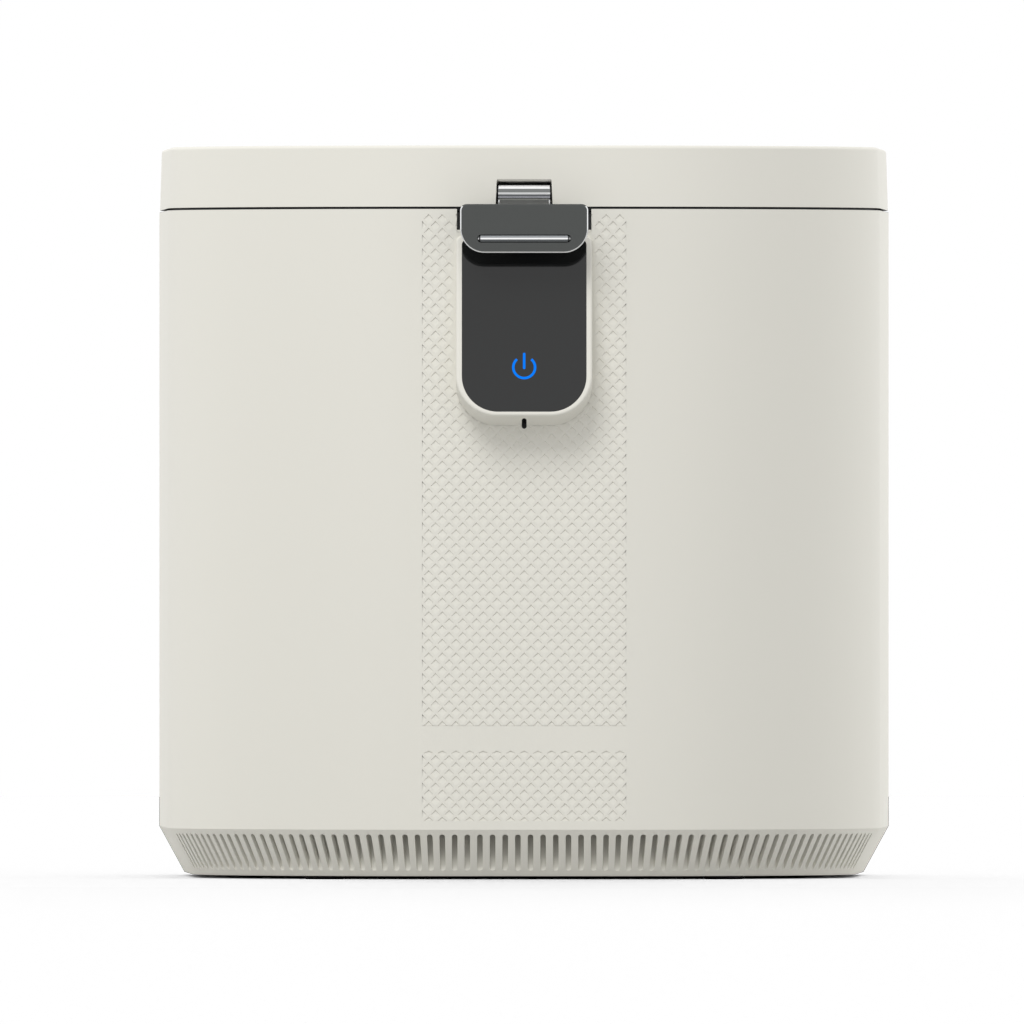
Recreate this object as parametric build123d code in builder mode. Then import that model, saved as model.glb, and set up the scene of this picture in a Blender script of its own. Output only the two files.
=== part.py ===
from build123d import *
from math import acos, atan2, cos, degrees, pi, radians, sin, tan
import os

os.makedirs("parts", exist_ok=True)

# Countertop electric food waste composter. A latched lid closes over a lift-out bucket, whose agitator is turned
# through a dog by a gear train under the heated well. A carbon filter drawer slides out of the rear.
# Millimetres. +Z up, front towards -Y, +X to the right. The origin is on the floor under the middle of the whole.

# ---- overall form -------------------------------------------------------------------------------------------
body_width = 322.0            # widest point, at the rear corners
body_depth = 300.0            # front face to rear face
total_height = 320.0          # floor to the lid's top
front_flat_width = 61.4       # flat middle of the front
front_arc_radius = 125.6
rear_corner_radius = 20.0
latch_proud = 20.0            # how far the latch stands in front of the front face
hinge_proud = 10.0            # how far the hinge stands behind the rear face
foot_height = 1.4             # what shows of a foot below the base
skirt_top_z = 21.7
skirt_inset = 11.1            # how far the skirt tapers in at the floor
lid_height = 26.8
lid_gap = 0.8                 # between the housing's rim and the lid
lid_bottom_inset = 0.3
lid_top_inset = 1.1
lid_edge_radius = 1.5
wall = 2.8                    # housing and skirt
lid_wall = 2.6
rest_gap = 0.3                # between bodies that move apart
fit_gap = 0.05                # radial, between a shaft and its bore
seat_gap = 0.02               # radial, between a fixed piece and its seat
overrun = 1.0                 # how far a cut or a joined form runs past the face it starts from

front_y = latch_proud - (body_depth + latch_proud + hinge_proud) / 2
rear_y = front_y + body_depth
lid_bottom_z = total_height - lid_height
housing_top_z = lid_bottom_z - lid_gap
rear_inner_y = rear_y - wall

column_radius = 4.5           # screw columns that join the housing to the base
column_height = 56.0
column_screw_length = 14.0
column_hole_depth = 16.0
column_rib = 2.0
column_floor_gap = 0.2        # under a column, so that the housing sits on the base's rim
column_rib_gap = 1.0          # over the base's tongue
column_wall_gap = 1.0         # between a column and the inside of the base's rim
front_column_distance = 118.0 # along the front edge from its middle
middle_column_y = 170.0       # behind the front face

# ---- skirt slots and floor ----------------------------------------------------------------------------------
slot_pitch = 5.51
slots_per_side = 37
slot_width = 2.45
slot_bottom_z = 3.9
slot_top_z = 19.6
floor_thickness = 3.0
tongue_height = 5.0           # lip of the base that stands inside the housing
tongue_thickness = 1.6
tongue_gap = 0.2
baffle_thickness = 1.6        # upright wall behind the slots, which run out against it at their lower ends
baffle_clearance = 0.15       # from the skirt's surface at the slots' lower ends
baffle_over_slots = 0.6
intake_slot_length = 34.0
intake_slot_width = 3.0
intake_slot_pitch = 7.0
intake_slots = 6
screw_seat = 0.6              # room round and over a sunk screw head
screw_sunk = 0.3              # a housing screw's head above the base's underside
through_hole_gap = 0.2        # radial, round a screw in a hole that it passes through
intake_set_forward = 2.0      # the fan's intake slots in front of its middle
base_post_reach = 12.0        # how far a screw hole runs down into a post of the base
fan_post_radius = 3.0
fan_post_inset = 4.0

# ---- textured fields on the front ---------------------------------------------------------------------------
field_width = 89.0
field_depth = 0.5
field_below_rim = 2.3
upper_field_z = (67.0, housing_top_z - field_below_rim)
lower_field_z = (25.6, 56.2)

# ---- feet ---------------------------------------------------------------------------------------------------
foot_radius = 8.65
foot_chamfer = 0.5
foot_stem_radius = 3.5
foot_stem_proud = 1.0         # how far a stem stands above the floor it holds in
front_foot_inset = 24.698     # foot's middle from the front edge
front_foot_distance = front_column_distance - 12.653    # along the front edge, beside its screw column
rear_foot_inset = 45.4        # foot's middle from the widest point
rear_foot_back = 30.0

# ---- control boss and latch ---------------------------------------------------------------------------------
boss_half_width = 29.7
boss_height = 82.5
boss_below_rim = 12.0
boss_lip_rise = 4.2           # the tilted front's lower edge above the boss's foot
boss_top_z = housing_top_z - boss_below_rim
boss_bottom_z = boss_top_z - boss_height
boss_lip_z = boss_bottom_z + boss_lip_rise
boss_corner_radius = 18.0
boss_top_corner_radius = 2.4
boss_top_proud = 2.0
boss_lip_proud = 17.0
boss_wall = 2.2
boss_lip_radius = 1.2
glass_half_width = 27.15
glass_above_lip = 1.8
glass_below_top = 1.4
glass_bottom_z = boss_lip_z + glass_above_lip
glass_top_z = boss_top_z - glass_below_top
glass_corner_radius = 15.8
glass_thickness = 1.5
glass_ledge = 2.0
glass_bed = 1.2               # the boss's wall behind the glass
icon_rise = 19.3              # power symbol's middle above the glass's lower edge
icon_z = glass_bottom_z + icon_rise
light_guide_radius = 7.0
light_guide_length = 3.0
control_board_size = (40.0, 54.0, 1.6)
board_window_margin = 4.0     # the housing's opening is this much larger than the board
board_window_radius = 3.0
board_window_drop = 8.0       # below the boss's top edge
boss_hollow_drop = 9.0        # the hollow's head below the boss's wall
boss_opening_drop = 12.0      # the opening behind the glass below the glass's top edge
drain_slot_width = 2.1
drain_slot_fall, drain_slot_rise = 1.4, 3.1     # its ends below and above the boss's foot
drain_slot_z = (boss_bottom_z - drain_slot_fall, boss_bottom_z + drain_slot_rise)
drain_slot_depth = 1.5
rim_notch_half_width = 29.3
rim_notch_depth = 9.2
rim_notch_bottom_z = housing_top_z - rim_notch_depth
keeper_size = (30.0, 1.1, 7.0)
keeper_lip = (1.6, 2.0)       # how far it stands out, and how thick
keeper_rise = 0.6             # above the bottom of the housing's notch
bar_radius = 2.9
bar_rise = 6.6                # bar centre above the lid's lower edge
bar_z = lid_bottom_z + bar_rise
bar_set_back = 3.6            # bar centre behind the front face
lid_notch_top_width = 23.85
lid_notch_bottom_width = 24.8
lid_notch_height = 11.1
lid_notch_ceiling_z = lid_bottom_z + lid_notch_height
lid_notch_bevel = 1.3         # rise of the slope at the ceiling's front edge
lid_notch_depth = 10.0
pocket_wall = 2.2
paddle_width = 55.7
paddle_height = 21.2
paddle_over_lid_edge = 1.1    # the paddle's top above the lid's lower edge
paddle_top_z = lid_bottom_z + paddle_over_lid_edge
paddle_bottom_z = paddle_top_z - paddle_height
paddle_thickness = 3.4
paddle_corner_radius = 10.6
paddle_top_corner_radius = 2.8
paddle_rim = 0.5
paddle_neck_width = 22.6
knuckle_radius = 4.2
knuckle_opening = 20.0        # side of the square cut that opens the knuckle for the bar
knuckle_opening_turn = 20.0
neck_setback = 0.6            # the neck's front behind the paddle's front
neck_thickness = 2.4
neck_drop = 3.4               # how far the neck runs down the paddle's back
groove_length = 40.9
groove_width = 3.5
groove_rise = 6.15            # groove's middle above the paddle's lower edge
groove_z = paddle_bottom_z + groove_rise
groove_depth = 1.6
inlay_sink = 0.2              # the inlay's crown below the paddle's front
inlay_foot = 0.1              # straight part of its side
hook_width = 20.0
hook_rise = 1.4               # hook above the bottom of the housing's notch
hook_height = 3.0
hook_arm = 2.0                # thickness of the arm behind the hook's nose
hook_nose = 3.0
hook_nose_slope = 1.0
hook_gap = 0.4                # between the hook's nose and the keeper's lip
hook_z = (rim_notch_bottom_z + hook_rise, rim_notch_bottom_z + hook_rise + hook_height)

# ---- lid ----------------------------------------------------------------------------------------------------
liner_thickness = 2.0
liner_rise = 0.7              # above the lid's lower edge
liner_z = lid_bottom_z + liner_rise
liner_gap = 0.4
seal_width = 3.0
seal_inset = 4.2
lid_boss_radius = 4.0
lid_boss_hole_depth = 10.0
lid_screw_bite = 8.0
lid_boss_inset = 71.0         # the four bosses' middles from the widest point
lid_boss_front, lid_boss_rear = 62.0, 40.0      # and from the front and rear faces
lid_side_boss_inset = 33.0    # the two side bosses' middles from the widest point
lid_side_boss_behind = 40.0   # behind the bucket's axis
blend = 0.5                   # how far a boss or pocket runs into the lid's ceiling
pocket_setback = 1.5          # the latch pocket's front behind the lid's front
notch_bevel_run = (1.8, 0.7)  # the slope at the notch's ceiling: its run inwards, and its rise past the front
magnet_place = (20.0, 4.0)    # beside and behind the latch pocket
bar_end_gap = 0.2
magnet_size = (12.0, 5.0, 4.0)

# ---- rear hinge ---------------------------------------------------------------------------------------------
hinge_x = 70.0
hinge_radius = 4.8
hinge_pin_radius = 2.0
hinge_length = 44.0
hinge_middle = 20.0           # length of the lid's knuckle
hinge_axis_y = rear_y + hinge_proud - hinge_radius
hinge_axis_z = lid_bottom_z
leaf_thickness = 2.0
leaf_height = 24.0
leaf_web = 11.0               # height of the web that joins a knuckle to its leaf
leaf_web_start = 0.6          # the web's inner edge from the hinge's axis
lid_leaf_short = 3.0          # the lid's leaf is this much lower
leaf_screw_edge = 6.0         # screws from a leaf's upper or lower edge
leaf_screw_end = 7.0          # and from its end
leaf_cut_over = (20.0, 6.8)   # the lid's outer face, carried on below and above it, shapes the leaf's back
leaf_cut_flare = (0.6, 0.2)
hinge_pin_end = 0.5           # how far a pin stands out at each end
screw_shank_radius = 1.5
screw_head_radius = 2.6
screw_head_height = 1.0

# ---- top deck, well and bucket ------------------------------------------------------------------------------
bucket_y = front_y + 117.0    # axis of the bucket, agitator and output gear
deck_depth = 42.9
deck_floor_z = housing_top_z - deck_depth
deck_floor_thickness = 2.5
deck_wall = 2.2
deck_gap = 0.4
deck_below_rim = 1.5
deck_rim_z = housing_top_z - deck_below_rim
deck_hole_gap = 0.5           # round the well
air_slot_length = 34.0
air_slot_width = 4.0
air_slot_pitch = 10.0
air_slots = 9
ledge_width = 5.0
ledge_thickness = 2.5
well_radius = 103.5
well_wall = 1.6
well_floor_z = 84.0
well_flange_radius = 110.0
insulation_thickness = 6.0
insulation_rise = 6.0         # its lower end above the well's underside
insulation_drop = 4.5         # its upper end below the deck
insulation_z = (well_floor_z + insulation_rise, deck_floor_z - insulation_drop)
heater_radius = 92.0
heater_thickness = 8.0
heater_bore = 22.0
machined_chamfer = 0.8
element_radius = 70.0
element_width = 7.6
element_height = 4.8
element_terminal_radius = 2.0
element_terminal_length = 8.0
terminal_gap = 1.0            # radial, round a terminal in the well's floor
element_terminals = [(element_radius, 7.0), (element_radius, -7.0)]
thermostat_body = (8.0, 4.0)  # radius and height
thermostat_cap = (5.0, 3.0)
shaft_seal_radius = 16.0
shaft_seal_proud = 0.4        # above and below the well's floor
bucket_radius = 99.2
bucket_wall = 2.2
bucket_floor = 3.0
bucket_corner_radius = 4.0
flange_radius = 108.0
flange_thickness = 2.0
lobe_half_width = 45.0
lobe_reach = 136.0
lobe_corner_radius = 8.0
dome_radius = 20.0            # hollow under the raised middle of the bucket's floor
dome_height = 11.6
breaker_size = (4.0, 3.0, 70.0)
handle_pivot_x = 104.0
handle_reach = 28.0
handle_width = 70.0
handle_bar = 6.0
handle_corner_radius = 8.0
handle_over_flange = 0.5      # a folded handle above the flange
handle_side_gap = 0.5         # between a handle and its lugs
handle_pin_root = 2.0         # how far a pin starts inside the handle
handle_pin_over = 1.0         # how far it ends beyond the lug
handle_pin_radius = 2.0
lug_thickness = 5.0
lug_height = 7.0
lug_length = 8.0
lug_radius = 2.5

# ---- agitator and drive -------------------------------------------------------------------------------------
agitator_reach = 90.0
agitator_arm_thickness = 6.0
agitator_arms = 3
agitator_hub_radius = 14.0
agitator_top_z = 142.0
agitator_shaft_radius = 5.0
bush_radius = 8.0
coupling_radius = 13.0
dog_hub_radius = 9.0
dog_tongue = (18.0, 6.0, 8.5)
tongue_play = 0.4
coupling_rise = 0.9           # above the bucket's underside
slot_roof_gap = 0.5           # over the dog's tongue
bush_proud = 0.8              # above the bucket's raised middle
shaft_root_gap = 0.1          # under the agitator's shaft
arm_root = 6.0                # how far an arm starts inside the hub
arm_clearance = 2.5           # over the bucket's floor
arm_step = (3.0, 6.0)         # outside the bucket's raised middle: where an arm starts down, and where it ends
arm_crook = (38.0, 21.0)      # radius and height over the arm's underside
blade_root_height = 13.0
blade_root_width = 11.0
blade_tip_width = 7.0
blade_drop = (6.0, 4.0)       # outer and inner corner of a blade's tip below the hub's top
arm_hub_height = 20.0
arm_turn = 10.0
hub_crown = ((16.0, 0.0), (4.0, 5.0), (0.0, 9.0))   # steps of the crown: below the top, and inside the hub
output_shaft_radius = 6.0
gearbox_z = 48.0
gearbox_plate = 3.0
gearbox_wall = 2.5
gearbox_height = 26.0         # underside of the base plate to the cover
output_teeth = 60
output_module = 1.5
idler_small_teeth = 14
idler_large_teeth = 48
pinion_teeth = 12
first_module = 1.0
slow_stage_z = (53.0, 63.0)
fast_stage_z = (64.6, 71.0)
idler_direction = 70.0
pinion_direction = 30.0
pressure_angle = 20.0
backlash = 0.16
idler_axle_radius = 4.0
motor_shaft_radius = 4.0
motor_radius = 30.0
motor_bottom_z = 9.0
bearing_radius = 14.0
bearing_collar = 3.0
bearing_height = 7.0
ear_radius = 7.0
ear_x = 46.0
ear_y = 44.0
last_ear_direction = 50.0
gear_tip_room = 3.0           # between a gear's pitch circle and the gearbox wall
motor_shaft_reach = 14.0      # length of the pinion's shaft inside the motor
gear_web_recess = 3.0
gear_web_hub = 15.0
gear_web_rim = 6.0
ear_beside_motor = 4.0        # the fourth ear's post clears the motor by this
shaft_hole_gap = 0.5          # radial, round a shaft in a wall that doesn't carry it
bearing_roof = 1.0            # wall over and under the bearing
gearbox_screw_head = 1.5      # height
gearbox_screw_bite = 8.0      # how far it holds in a post of the base
gear_collar = 0.4             # a gear's hub beyond its teeth
pinion_shaft_over = 2.0       # above the pinion's teeth
motor_crown = 9.0             # height of the stepped lower end
motor_step = 4.0
motor_foot = 8.0
motor_flange = 5.0            # height of the narrow upper end
shaft_end_gap = 1.0           # under the output shaft
dog_shaft_hold = 2.0          # the dog's roof over the shaft
dog_rise = 0.8                # above the well's floor
dog_over_heater = 0.4
post_radius = 5.0

# ---- rear compartment ---------------------------------------------------------------------------------------
drawer_half_width = 70.0
drawer_height = 76.0
drawer_below_deck = 8.5
drawer_z = (deck_floor_z - drawer_below_deck - drawer_height, deck_floor_z - drawer_below_deck)
drawer_corner_radius = 4.0
drawer_gap = 0.5
drawer_front_y = 88.5
drawer_wall = 2.0
pull_size = (60.0, 20.0, 12.0)
pull_corner_radius = 5.0
drawer_edge_radius = 0.8
drawer_slot_pitch = 12.0
drawer_slots = 10
drawer_slot_size = (36.0, 5.0)
carbon_gap = 0.4
carbon_corner_radius = 3.0
sleeve_wall = 2.0
sleeve_back_gap = 0.2         # between a sleeve or duct and the rear wall
sleeve_front_y = 86.0
blower_x = 40.0
blower_y = 117.0
blower_height = 31.8
blower_top_z = drawer_z[0] - 4.2
blower_z = (blower_top_z - blower_height, blower_top_z)
blower_radius = 30.0
blower_wall = 2.0
blower_eye_radius = 20.0
blower_outlet = (26.0, 24.0)
impeller_radius = 26.0
impeller_blades = 12
impeller_plate = 1.6
impeller_hub = (6.0, 14.0)    # radius and height
impeller_blade = (9.0, 1.4)   # length and thickness
impeller_blade_set = 5.0      # a blade's middle inside the rim
impeller_blade_turn = 35.0
impeller_gap = 1.0            # between the impeller and the housing's walls
blower_motor_radius = 15.0
blower_motor_height = 20.0
blower_shaft_radius = 2.0
exhaust_size = (40.0, 28.0)
exhaust_slats = 4
exhaust_corner_radius = 3.0
exhaust_slot_pitch = 5.6
exhaust_slot_height = 3.2
exhaust_frame = 3.0           # width of the grille's frame beside its slots
insert_gap = 0.1              # round a grille or inlet in its opening
fan_side_inset = 53.0         # the fan's middle from the widest point
fan_rear_inset = 57.0
fan_centre = (body_width / 2 - fan_side_inset, rear_y - fan_rear_inset)
fan_size = 50.0
fan_z = (10.0, 25.0)
fan_bore_radius = 22.5
fan_hub_radius = 9.0
fan_blades = 7
fan_corner_radius = 3.0
fan_spoke = (3.0, 2.0)        # width and height
fan_spoke_end = 2.0           # from the frame's outside to a spoke's end
fan_pin_radius = 1.5
fan_pin_height = 3.0
fan_rotor_rise = 2.4          # above the frame's underside
fan_rotor_gap = 1.0           # below the frame's top
fan_blade = (11.0, 1.2)       # width and thickness
fan_blade_turn = 32.0
fan_blade_root = 8.0          # radius at which a blade starts inside the hub
fan_blade_gap = 1.0           # to the frame's bore
fan_blade_lift = 1.0          # a blade's middle above the frame's middle
inlet_side_inset = 61.0       # the inlet's middle from the widest point
inlet_centre = (inlet_side_inset - body_width / 2, 46.0)
inlet_size = (30.0, 22.0, 18.0)
inlet_wall = (3.0, 2.75, 4.0) # beside, over and behind the inlet's well
inlet_corner_radius = 3.0
inlet_blade = (2.0, 4.0, 10.0)
inlet_blade_pitch = 7.0
inlet_blade_drop = 1.5
inlet_blade_root = 1.0        # how far a blade starts inside the well's back wall
board_above_inlet = 15.0
board_below_drawer = 17.0
board_z = (inlet_centre[1] + inlet_size[1] / 2 + board_above_inlet, drawer_z[0] - board_below_drawer)
board_size = (84.0, 1.6, board_z[1] - board_z[0])
board_side_inset = 69.0       # the power board's middle from the widest point
board_centre = (board_side_inset - body_width / 2, (board_z[0] + board_z[1]) / 2)
board_standoff = 6.0
board_post_inset = 5.0
board_post_radius = 3.0
transformer = (-22.0, 18.0, 26.0, 22.0, 18.0)   # place on the board, width, height, depth
capacitor_places = [(18.0, 22.0), (18.0, 4.0), (-22.0, -8.0)]
capacitor_radius = 7.0
capacitor_height = 22.0
heat_sink = (14.0, -20.0, 34.0, 12.0, 12.0)


# The side of the plan is the common tangent of the front arc and the rear corner.
front_centre = Vector(front_flat_width / 2, front_y + front_arc_radius)
rear_centre = Vector(body_width / 2 - rear_corner_radius, rear_y - rear_corner_radius)
centre_run = rear_centre - front_centre
side_angle = degrees(atan2(centre_run.Y, centre_run.X)
                     - acos((front_arc_radius - rear_corner_radius) / centre_run.length))


def plan_face(inset):
    """Top view of the body drawn inside its edge: flat front, large front arcs, sides that open a little to the
    rear, and a flat back with rounded corners."""
    front_radius = front_arc_radius - inset
    rear_radius = rear_corner_radius - inset
    with BuildSketch(mode=Mode.PRIVATE) as plan:
        with BuildLine():
            Line((0, front_y + inset), (front_flat_width / 2, front_y + inset))
            front_arc = CenterArc(front_centre, front_radius, -90, 90 + side_angle)
            rear_arc = CenterArc(rear_centre, rear_radius, side_angle, 90 - side_angle)
            Line(front_arc @ 1, rear_arc @ 0)
            Line(rear_arc @ 1, (0, rear_y - inset))
            mirror(about=Plane.YZ)
        make_face()
    return plan.sketch


def plan_block(low_z, low_inset, high_z, high_inset):
    """Solid between two heights with the body's plan, drafted from one inset to the other."""
    with BuildPart(mode=Mode.PRIVATE) as block:
        with BuildSketch(Plane.XY.offset(low_z)):
            add(plan_face(low_inset))
        with BuildSketch(Plane.XY.offset(high_z)):
            add(plan_face(high_inset))
        loft(ruled=True)
    return block.part


def plan_ring(low_z, high_z, outer_inset, inner_inset):
    """Upright wall that follows the body's plan between two insets."""
    with BuildPart(mode=Mode.PRIVATE) as ring:
        with BuildSketch(Plane.XY.offset(low_z)):
            add(plan_face(outer_inset))
            add(plan_face(inner_inset), mode=Mode.SUBTRACT)
        extrude(amount=high_z - low_z)
    return ring.part


def front_edge(distance, inset=0.0):
    """Point of the plan at a signed distance round the front from its middle, and its outward direction."""
    side = 1 if distance >= 0 else -1
    flat = front_flat_width / 2
    turn = max(abs(distance) - flat, 0) / front_arc_radius
    x = min(abs(distance), flat) + (front_arc_radius - inset) * sin(turn)
    y = front_y + front_arc_radius - (front_arc_radius - inset) * cos(turn)
    return Vector(side * x, y, 0), Vector(side * sin(turn), -cos(turn), 0)


def side_edge(side, y, inset=0.0):
    """Point of the plan's left or right side at a given depth, and its outward direction."""
    normal = Vector(1, 0, 0).rotate(Axis.Z, side_angle)
    reach = normal.dot(front_centre) + front_arc_radius - inset
    x = (reach - normal.Y * y) / normal.X
    return Vector(side * x, y, 0), Vector(side * normal.X, normal.Y, 0)


def gear_face(teeth, module, turned):
    """Spur gear outline. Each flank is the chord of its involute, and one tooth points along the turned angle."""
    pitch_radius = teeth * module / 2
    base_radius = pitch_radius * cos(radians(pressure_angle))
    root_radius = pitch_radius - 1.25 * module
    tip_radius = pitch_radius + 0.95 * module
    foot_start = max(root_radius, base_radius)

    def involute(angle):
        return tan(angle) - angle

    def half_angle(radius):
        at_pitch = (pi * module / 2 - backlash) / (2 * pitch_radius)
        return at_pitch + involute(radians(pressure_angle)) - involute(acos(min(1.0, base_radius / radius)))

    stations = [(root_radius, half_angle(foot_start)), (tip_radius, half_angle(tip_radius))]
    if foot_start > root_radius:
        stations.insert(1, (foot_start, half_angle(foot_start)))
    points = []
    for tooth in range(teeth):
        middle = radians(turned) + 2 * pi * tooth / teeth
        for radius, half in stations:
            points.append((radius * cos(middle - half), radius * sin(middle - half)))
        for radius, half in reversed(stations):
            points.append((radius * cos(middle + half), radius * sin(middle + half)))
    with BuildSketch(mode=Mode.PRIVATE) as gear:
        with BuildLine():
            Polyline(*points, close=True)
        make_face()
    return gear.sketch


def at(x, y, z=0.0):
    """Level plane at a point."""
    return Plane(origin=(x, y, z))


def finish(part, name):
    """Label a piece and write it."""
    part.label = name
    export_step(part, f"parts/{name}.step")


front_plane = Plane(origin=(0, front_y, 0), x_dir=(1, 0, 0), z_dir=(0, -1, 0))
rear_plane = Plane(origin=(0, rear_y, 0), x_dir=(-1, 0, 0), z_dir=(0, 1, 0))
leaf_gap = hinge_radius + rest_gap
body_leaf_z = (hinge_axis_z - leaf_height, hinge_axis_z - leaf_gap)
lid_leaf_z = (hinge_axis_z + leaf_gap, hinge_axis_z + leaf_height - lid_leaf_short)
leaf_screw_z = (body_leaf_z[0] + leaf_screw_edge, lid_leaf_z[1] - leaf_screw_edge)
hinge_screws_x = []
for hinge_side in (-1, 1):
    for screw_side in (-1, 1):
        hinge_screws_x.append(hinge_side * hinge_x + screw_side * (hinge_length / 2 - leaf_screw_end))


def add_hinge_screws(row, depth):
    """Add the screws of one leaf row to the screw group being built: 0 for the body's leaves, 1 for the lid's."""
    with BuildSketch(rear_plane.offset(leaf_thickness), mode=Mode.PRIVATE) as heads:
        with Locations(*[(-x, leaf_screw_z[row]) for x in hinge_screws_x]):
            Circle(screw_head_radius)
    with BuildSketch(rear_plane.offset(leaf_thickness), mode=Mode.PRIVATE) as shanks:
        with Locations(*[(-x, leaf_screw_z[row]) for x in hinge_screws_x]):
            Circle(screw_shank_radius)
    add(extrude(heads.sketch, amount=screw_head_height, mode=Mode.PRIVATE))
    add(extrude(shanks.sketch, amount=-(leaf_thickness + depth), mode=Mode.PRIVATE))


# =============================================================================================================
# Base
# =============================================================================================================
skirt_lean = degrees(atan2(skirt_inset, skirt_top_z - foot_height))
base_floor_z = foot_height + floor_thickness
column_inset = skirt_inset + wall + column_radius + column_wall_gap
column_points = []
for column_side in (1, -1):
    column_points.append(front_edge(column_side * front_column_distance, column_inset))
    column_points.append(side_edge(column_side, front_y + middle_column_y, column_inset))
    column_points.append(side_edge(column_side, rear_y - column_inset, column_inset))
column_places = [Vector(point.X, point.Y, 0) for point, _ in column_points]
front_foot, _ = front_edge(front_foot_distance, front_foot_inset)
foot_places = {
    "foot_front_left": (-front_foot.X, front_foot.Y),
    "foot_front_right": (front_foot.X, front_foot.Y),
    "foot_rear_left": (rear_foot_inset - body_width / 2, rear_y - rear_foot_back),
    "foot_rear_right": (body_width / 2 - rear_foot_inset, rear_y - rear_foot_back),
}

output_centre = Vector(0, bucket_y, 0)
slow_distance = (output_teeth + idler_small_teeth) * output_module / 2
fast_distance = (idler_large_teeth + pinion_teeth) * first_module / 2
idler_centre = output_centre + Vector(slow_distance, 0, 0).rotate(Axis.Z, idler_direction)
pinion_centre = idler_centre + Vector(fast_distance, 0, 0).rotate(Axis.Z, pinion_direction)
gearbox_top_z = gearbox_z + gearbox_height
ear_places = [
    output_centre + Vector(-ear_x, -ear_y, 0),
    output_centre + Vector(ear_x, -ear_y, 0),
    output_centre + Vector(-ear_x, ear_y, 0),
    pinion_centre + Vector(motor_radius + post_radius + ear_beside_motor, 0, 0).rotate(Axis.Z, last_ear_direction),
]

slot_planes = []
for slot in range(-slots_per_side, slots_per_side):
    slot_middle_z = (slot_bottom_z + slot_top_z) / 2
    slot_inset = (skirt_top_z - slot_middle_z) * tan(radians(skirt_lean))
    place, outward = front_edge((slot + 0.5) * slot_pitch, slot_inset)
    normal = outward * cos(radians(skirt_lean)) - Vector(0, 0, 1) * sin(radians(skirt_lean))
    along = Vector(0, 0, 1).cross(outward)
    slot_planes.append(Plane(origin=place + Vector(0, 0, slot_middle_z), x_dir=along, z_dir=normal))
slot_length = (slot_top_z - slot_bottom_z) / cos(radians(skirt_lean))

with BuildPart() as base_tray:
    add(plan_block(foot_height, skirt_inset, skirt_top_z, 0))
    inner_taper = (skirt_top_z - base_floor_z) * tan(radians(skirt_lean))
    add(plan_block(base_floor_z, wall + inner_taper, skirt_top_z, wall), mode=Mode.SUBTRACT)
    tongue_inset = wall + tongue_gap
    add(plan_ring(skirt_top_z - tongue_height, skirt_top_z + tongue_height,
                  tongue_inset, tongue_inset + tongue_thickness))
    with BuildSketch(*slot_planes):
        SlotOverall(slot_length, slot_width, rotation=90)
    extrude(amount=wall * 2, both=True, mode=Mode.SUBTRACT)
    baffle_inset = (skirt_top_z - slot_bottom_z) * tan(radians(skirt_lean)) + baffle_clearance
    add(plan_ring(slot_bottom_z, slot_top_z + baffle_over_slots, baffle_inset, baffle_inset + baffle_thickness))
    with BuildSketch(Plane.XY.offset(foot_height)):
        with Locations(*[(x, y) for x, y in foot_places.values()]):
            Circle(foot_stem_radius + seat_gap)
    extrude(amount=floor_thickness, mode=Mode.SUBTRACT)
    with BuildSketch(Plane.XY.offset(foot_height)):
        with Locations(*column_places):
            Circle(screw_head_radius + screw_seat)
    extrude(amount=screw_head_height + screw_seat, mode=Mode.SUBTRACT)
    with BuildSketch(Plane.XY.offset(foot_height)):
        with Locations(*column_places):
            Circle(screw_shank_radius + through_hole_gap)
    extrude(amount=floor_thickness, mode=Mode.SUBTRACT)
    with BuildSketch(Plane.XY.offset(foot_height)):
        with Locations((fan_centre[0], fan_centre[1] - intake_set_forward), (pinion_centre.X, pinion_centre.Y)):
            with GridLocations(intake_slot_pitch, 0, intake_slots, 1):
                SlotOverall(intake_slot_length, intake_slot_width, rotation=90)
    extrude(amount=floor_thickness, mode=Mode.SUBTRACT)
    with BuildSketch(Plane.XY.offset(base_floor_z)):
        with Locations(*ear_places):
            Circle(post_radius)
    extrude(amount=gearbox_z - base_floor_z)
    with BuildSketch(Plane.XY.offset(gearbox_z)):
        with Locations(*ear_places):
            Circle(screw_shank_radius + fit_gap)
    extrude(amount=-base_post_reach, mode=Mode.SUBTRACT)
    fan_post = fan_size / 2 - fan_post_inset
    with BuildSketch(Plane.XY.offset(base_floor_z)):
        with Locations(fan_centre):
            with GridLocations(2 * fan_post, 2 * fan_post, 2, 2):
                Circle(fan_post_radius)
    extrude(amount=fan_z[0] - base_floor_z)
finish(base_tray.part, "base_tray")

for foot_name, foot_place in foot_places.items():
    with BuildPart() as foot:
        with BuildSketch(at(*foot_place)):
            Circle(foot_radius)
        extrude(amount=foot_height)
        chamfer(foot.edges().group_by(Axis.Z)[0], foot_chamfer)
        with BuildSketch(at(*foot_place, foot_height)):
            Circle(foot_stem_radius)
        extrude(amount=floor_thickness + foot_stem_proud)
    finish(foot.part, foot_name)

with BuildPart() as housing_screws:
    with BuildSketch(Plane.XY.offset(foot_height + screw_sunk)):
        with Locations(*column_places):
            Circle(screw_head_radius)
    extrude(amount=screw_head_height + screw_sunk)
    with BuildSketch(Plane.XY.offset(foot_height + screw_head_height + screw_seat)):
        with Locations(*column_places):
            Circle(screw_shank_radius)
    extrude(amount=column_screw_length)
    add_hinge_screws(0, wall)
finish(housing_screws.part, "housing_screws")

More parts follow.
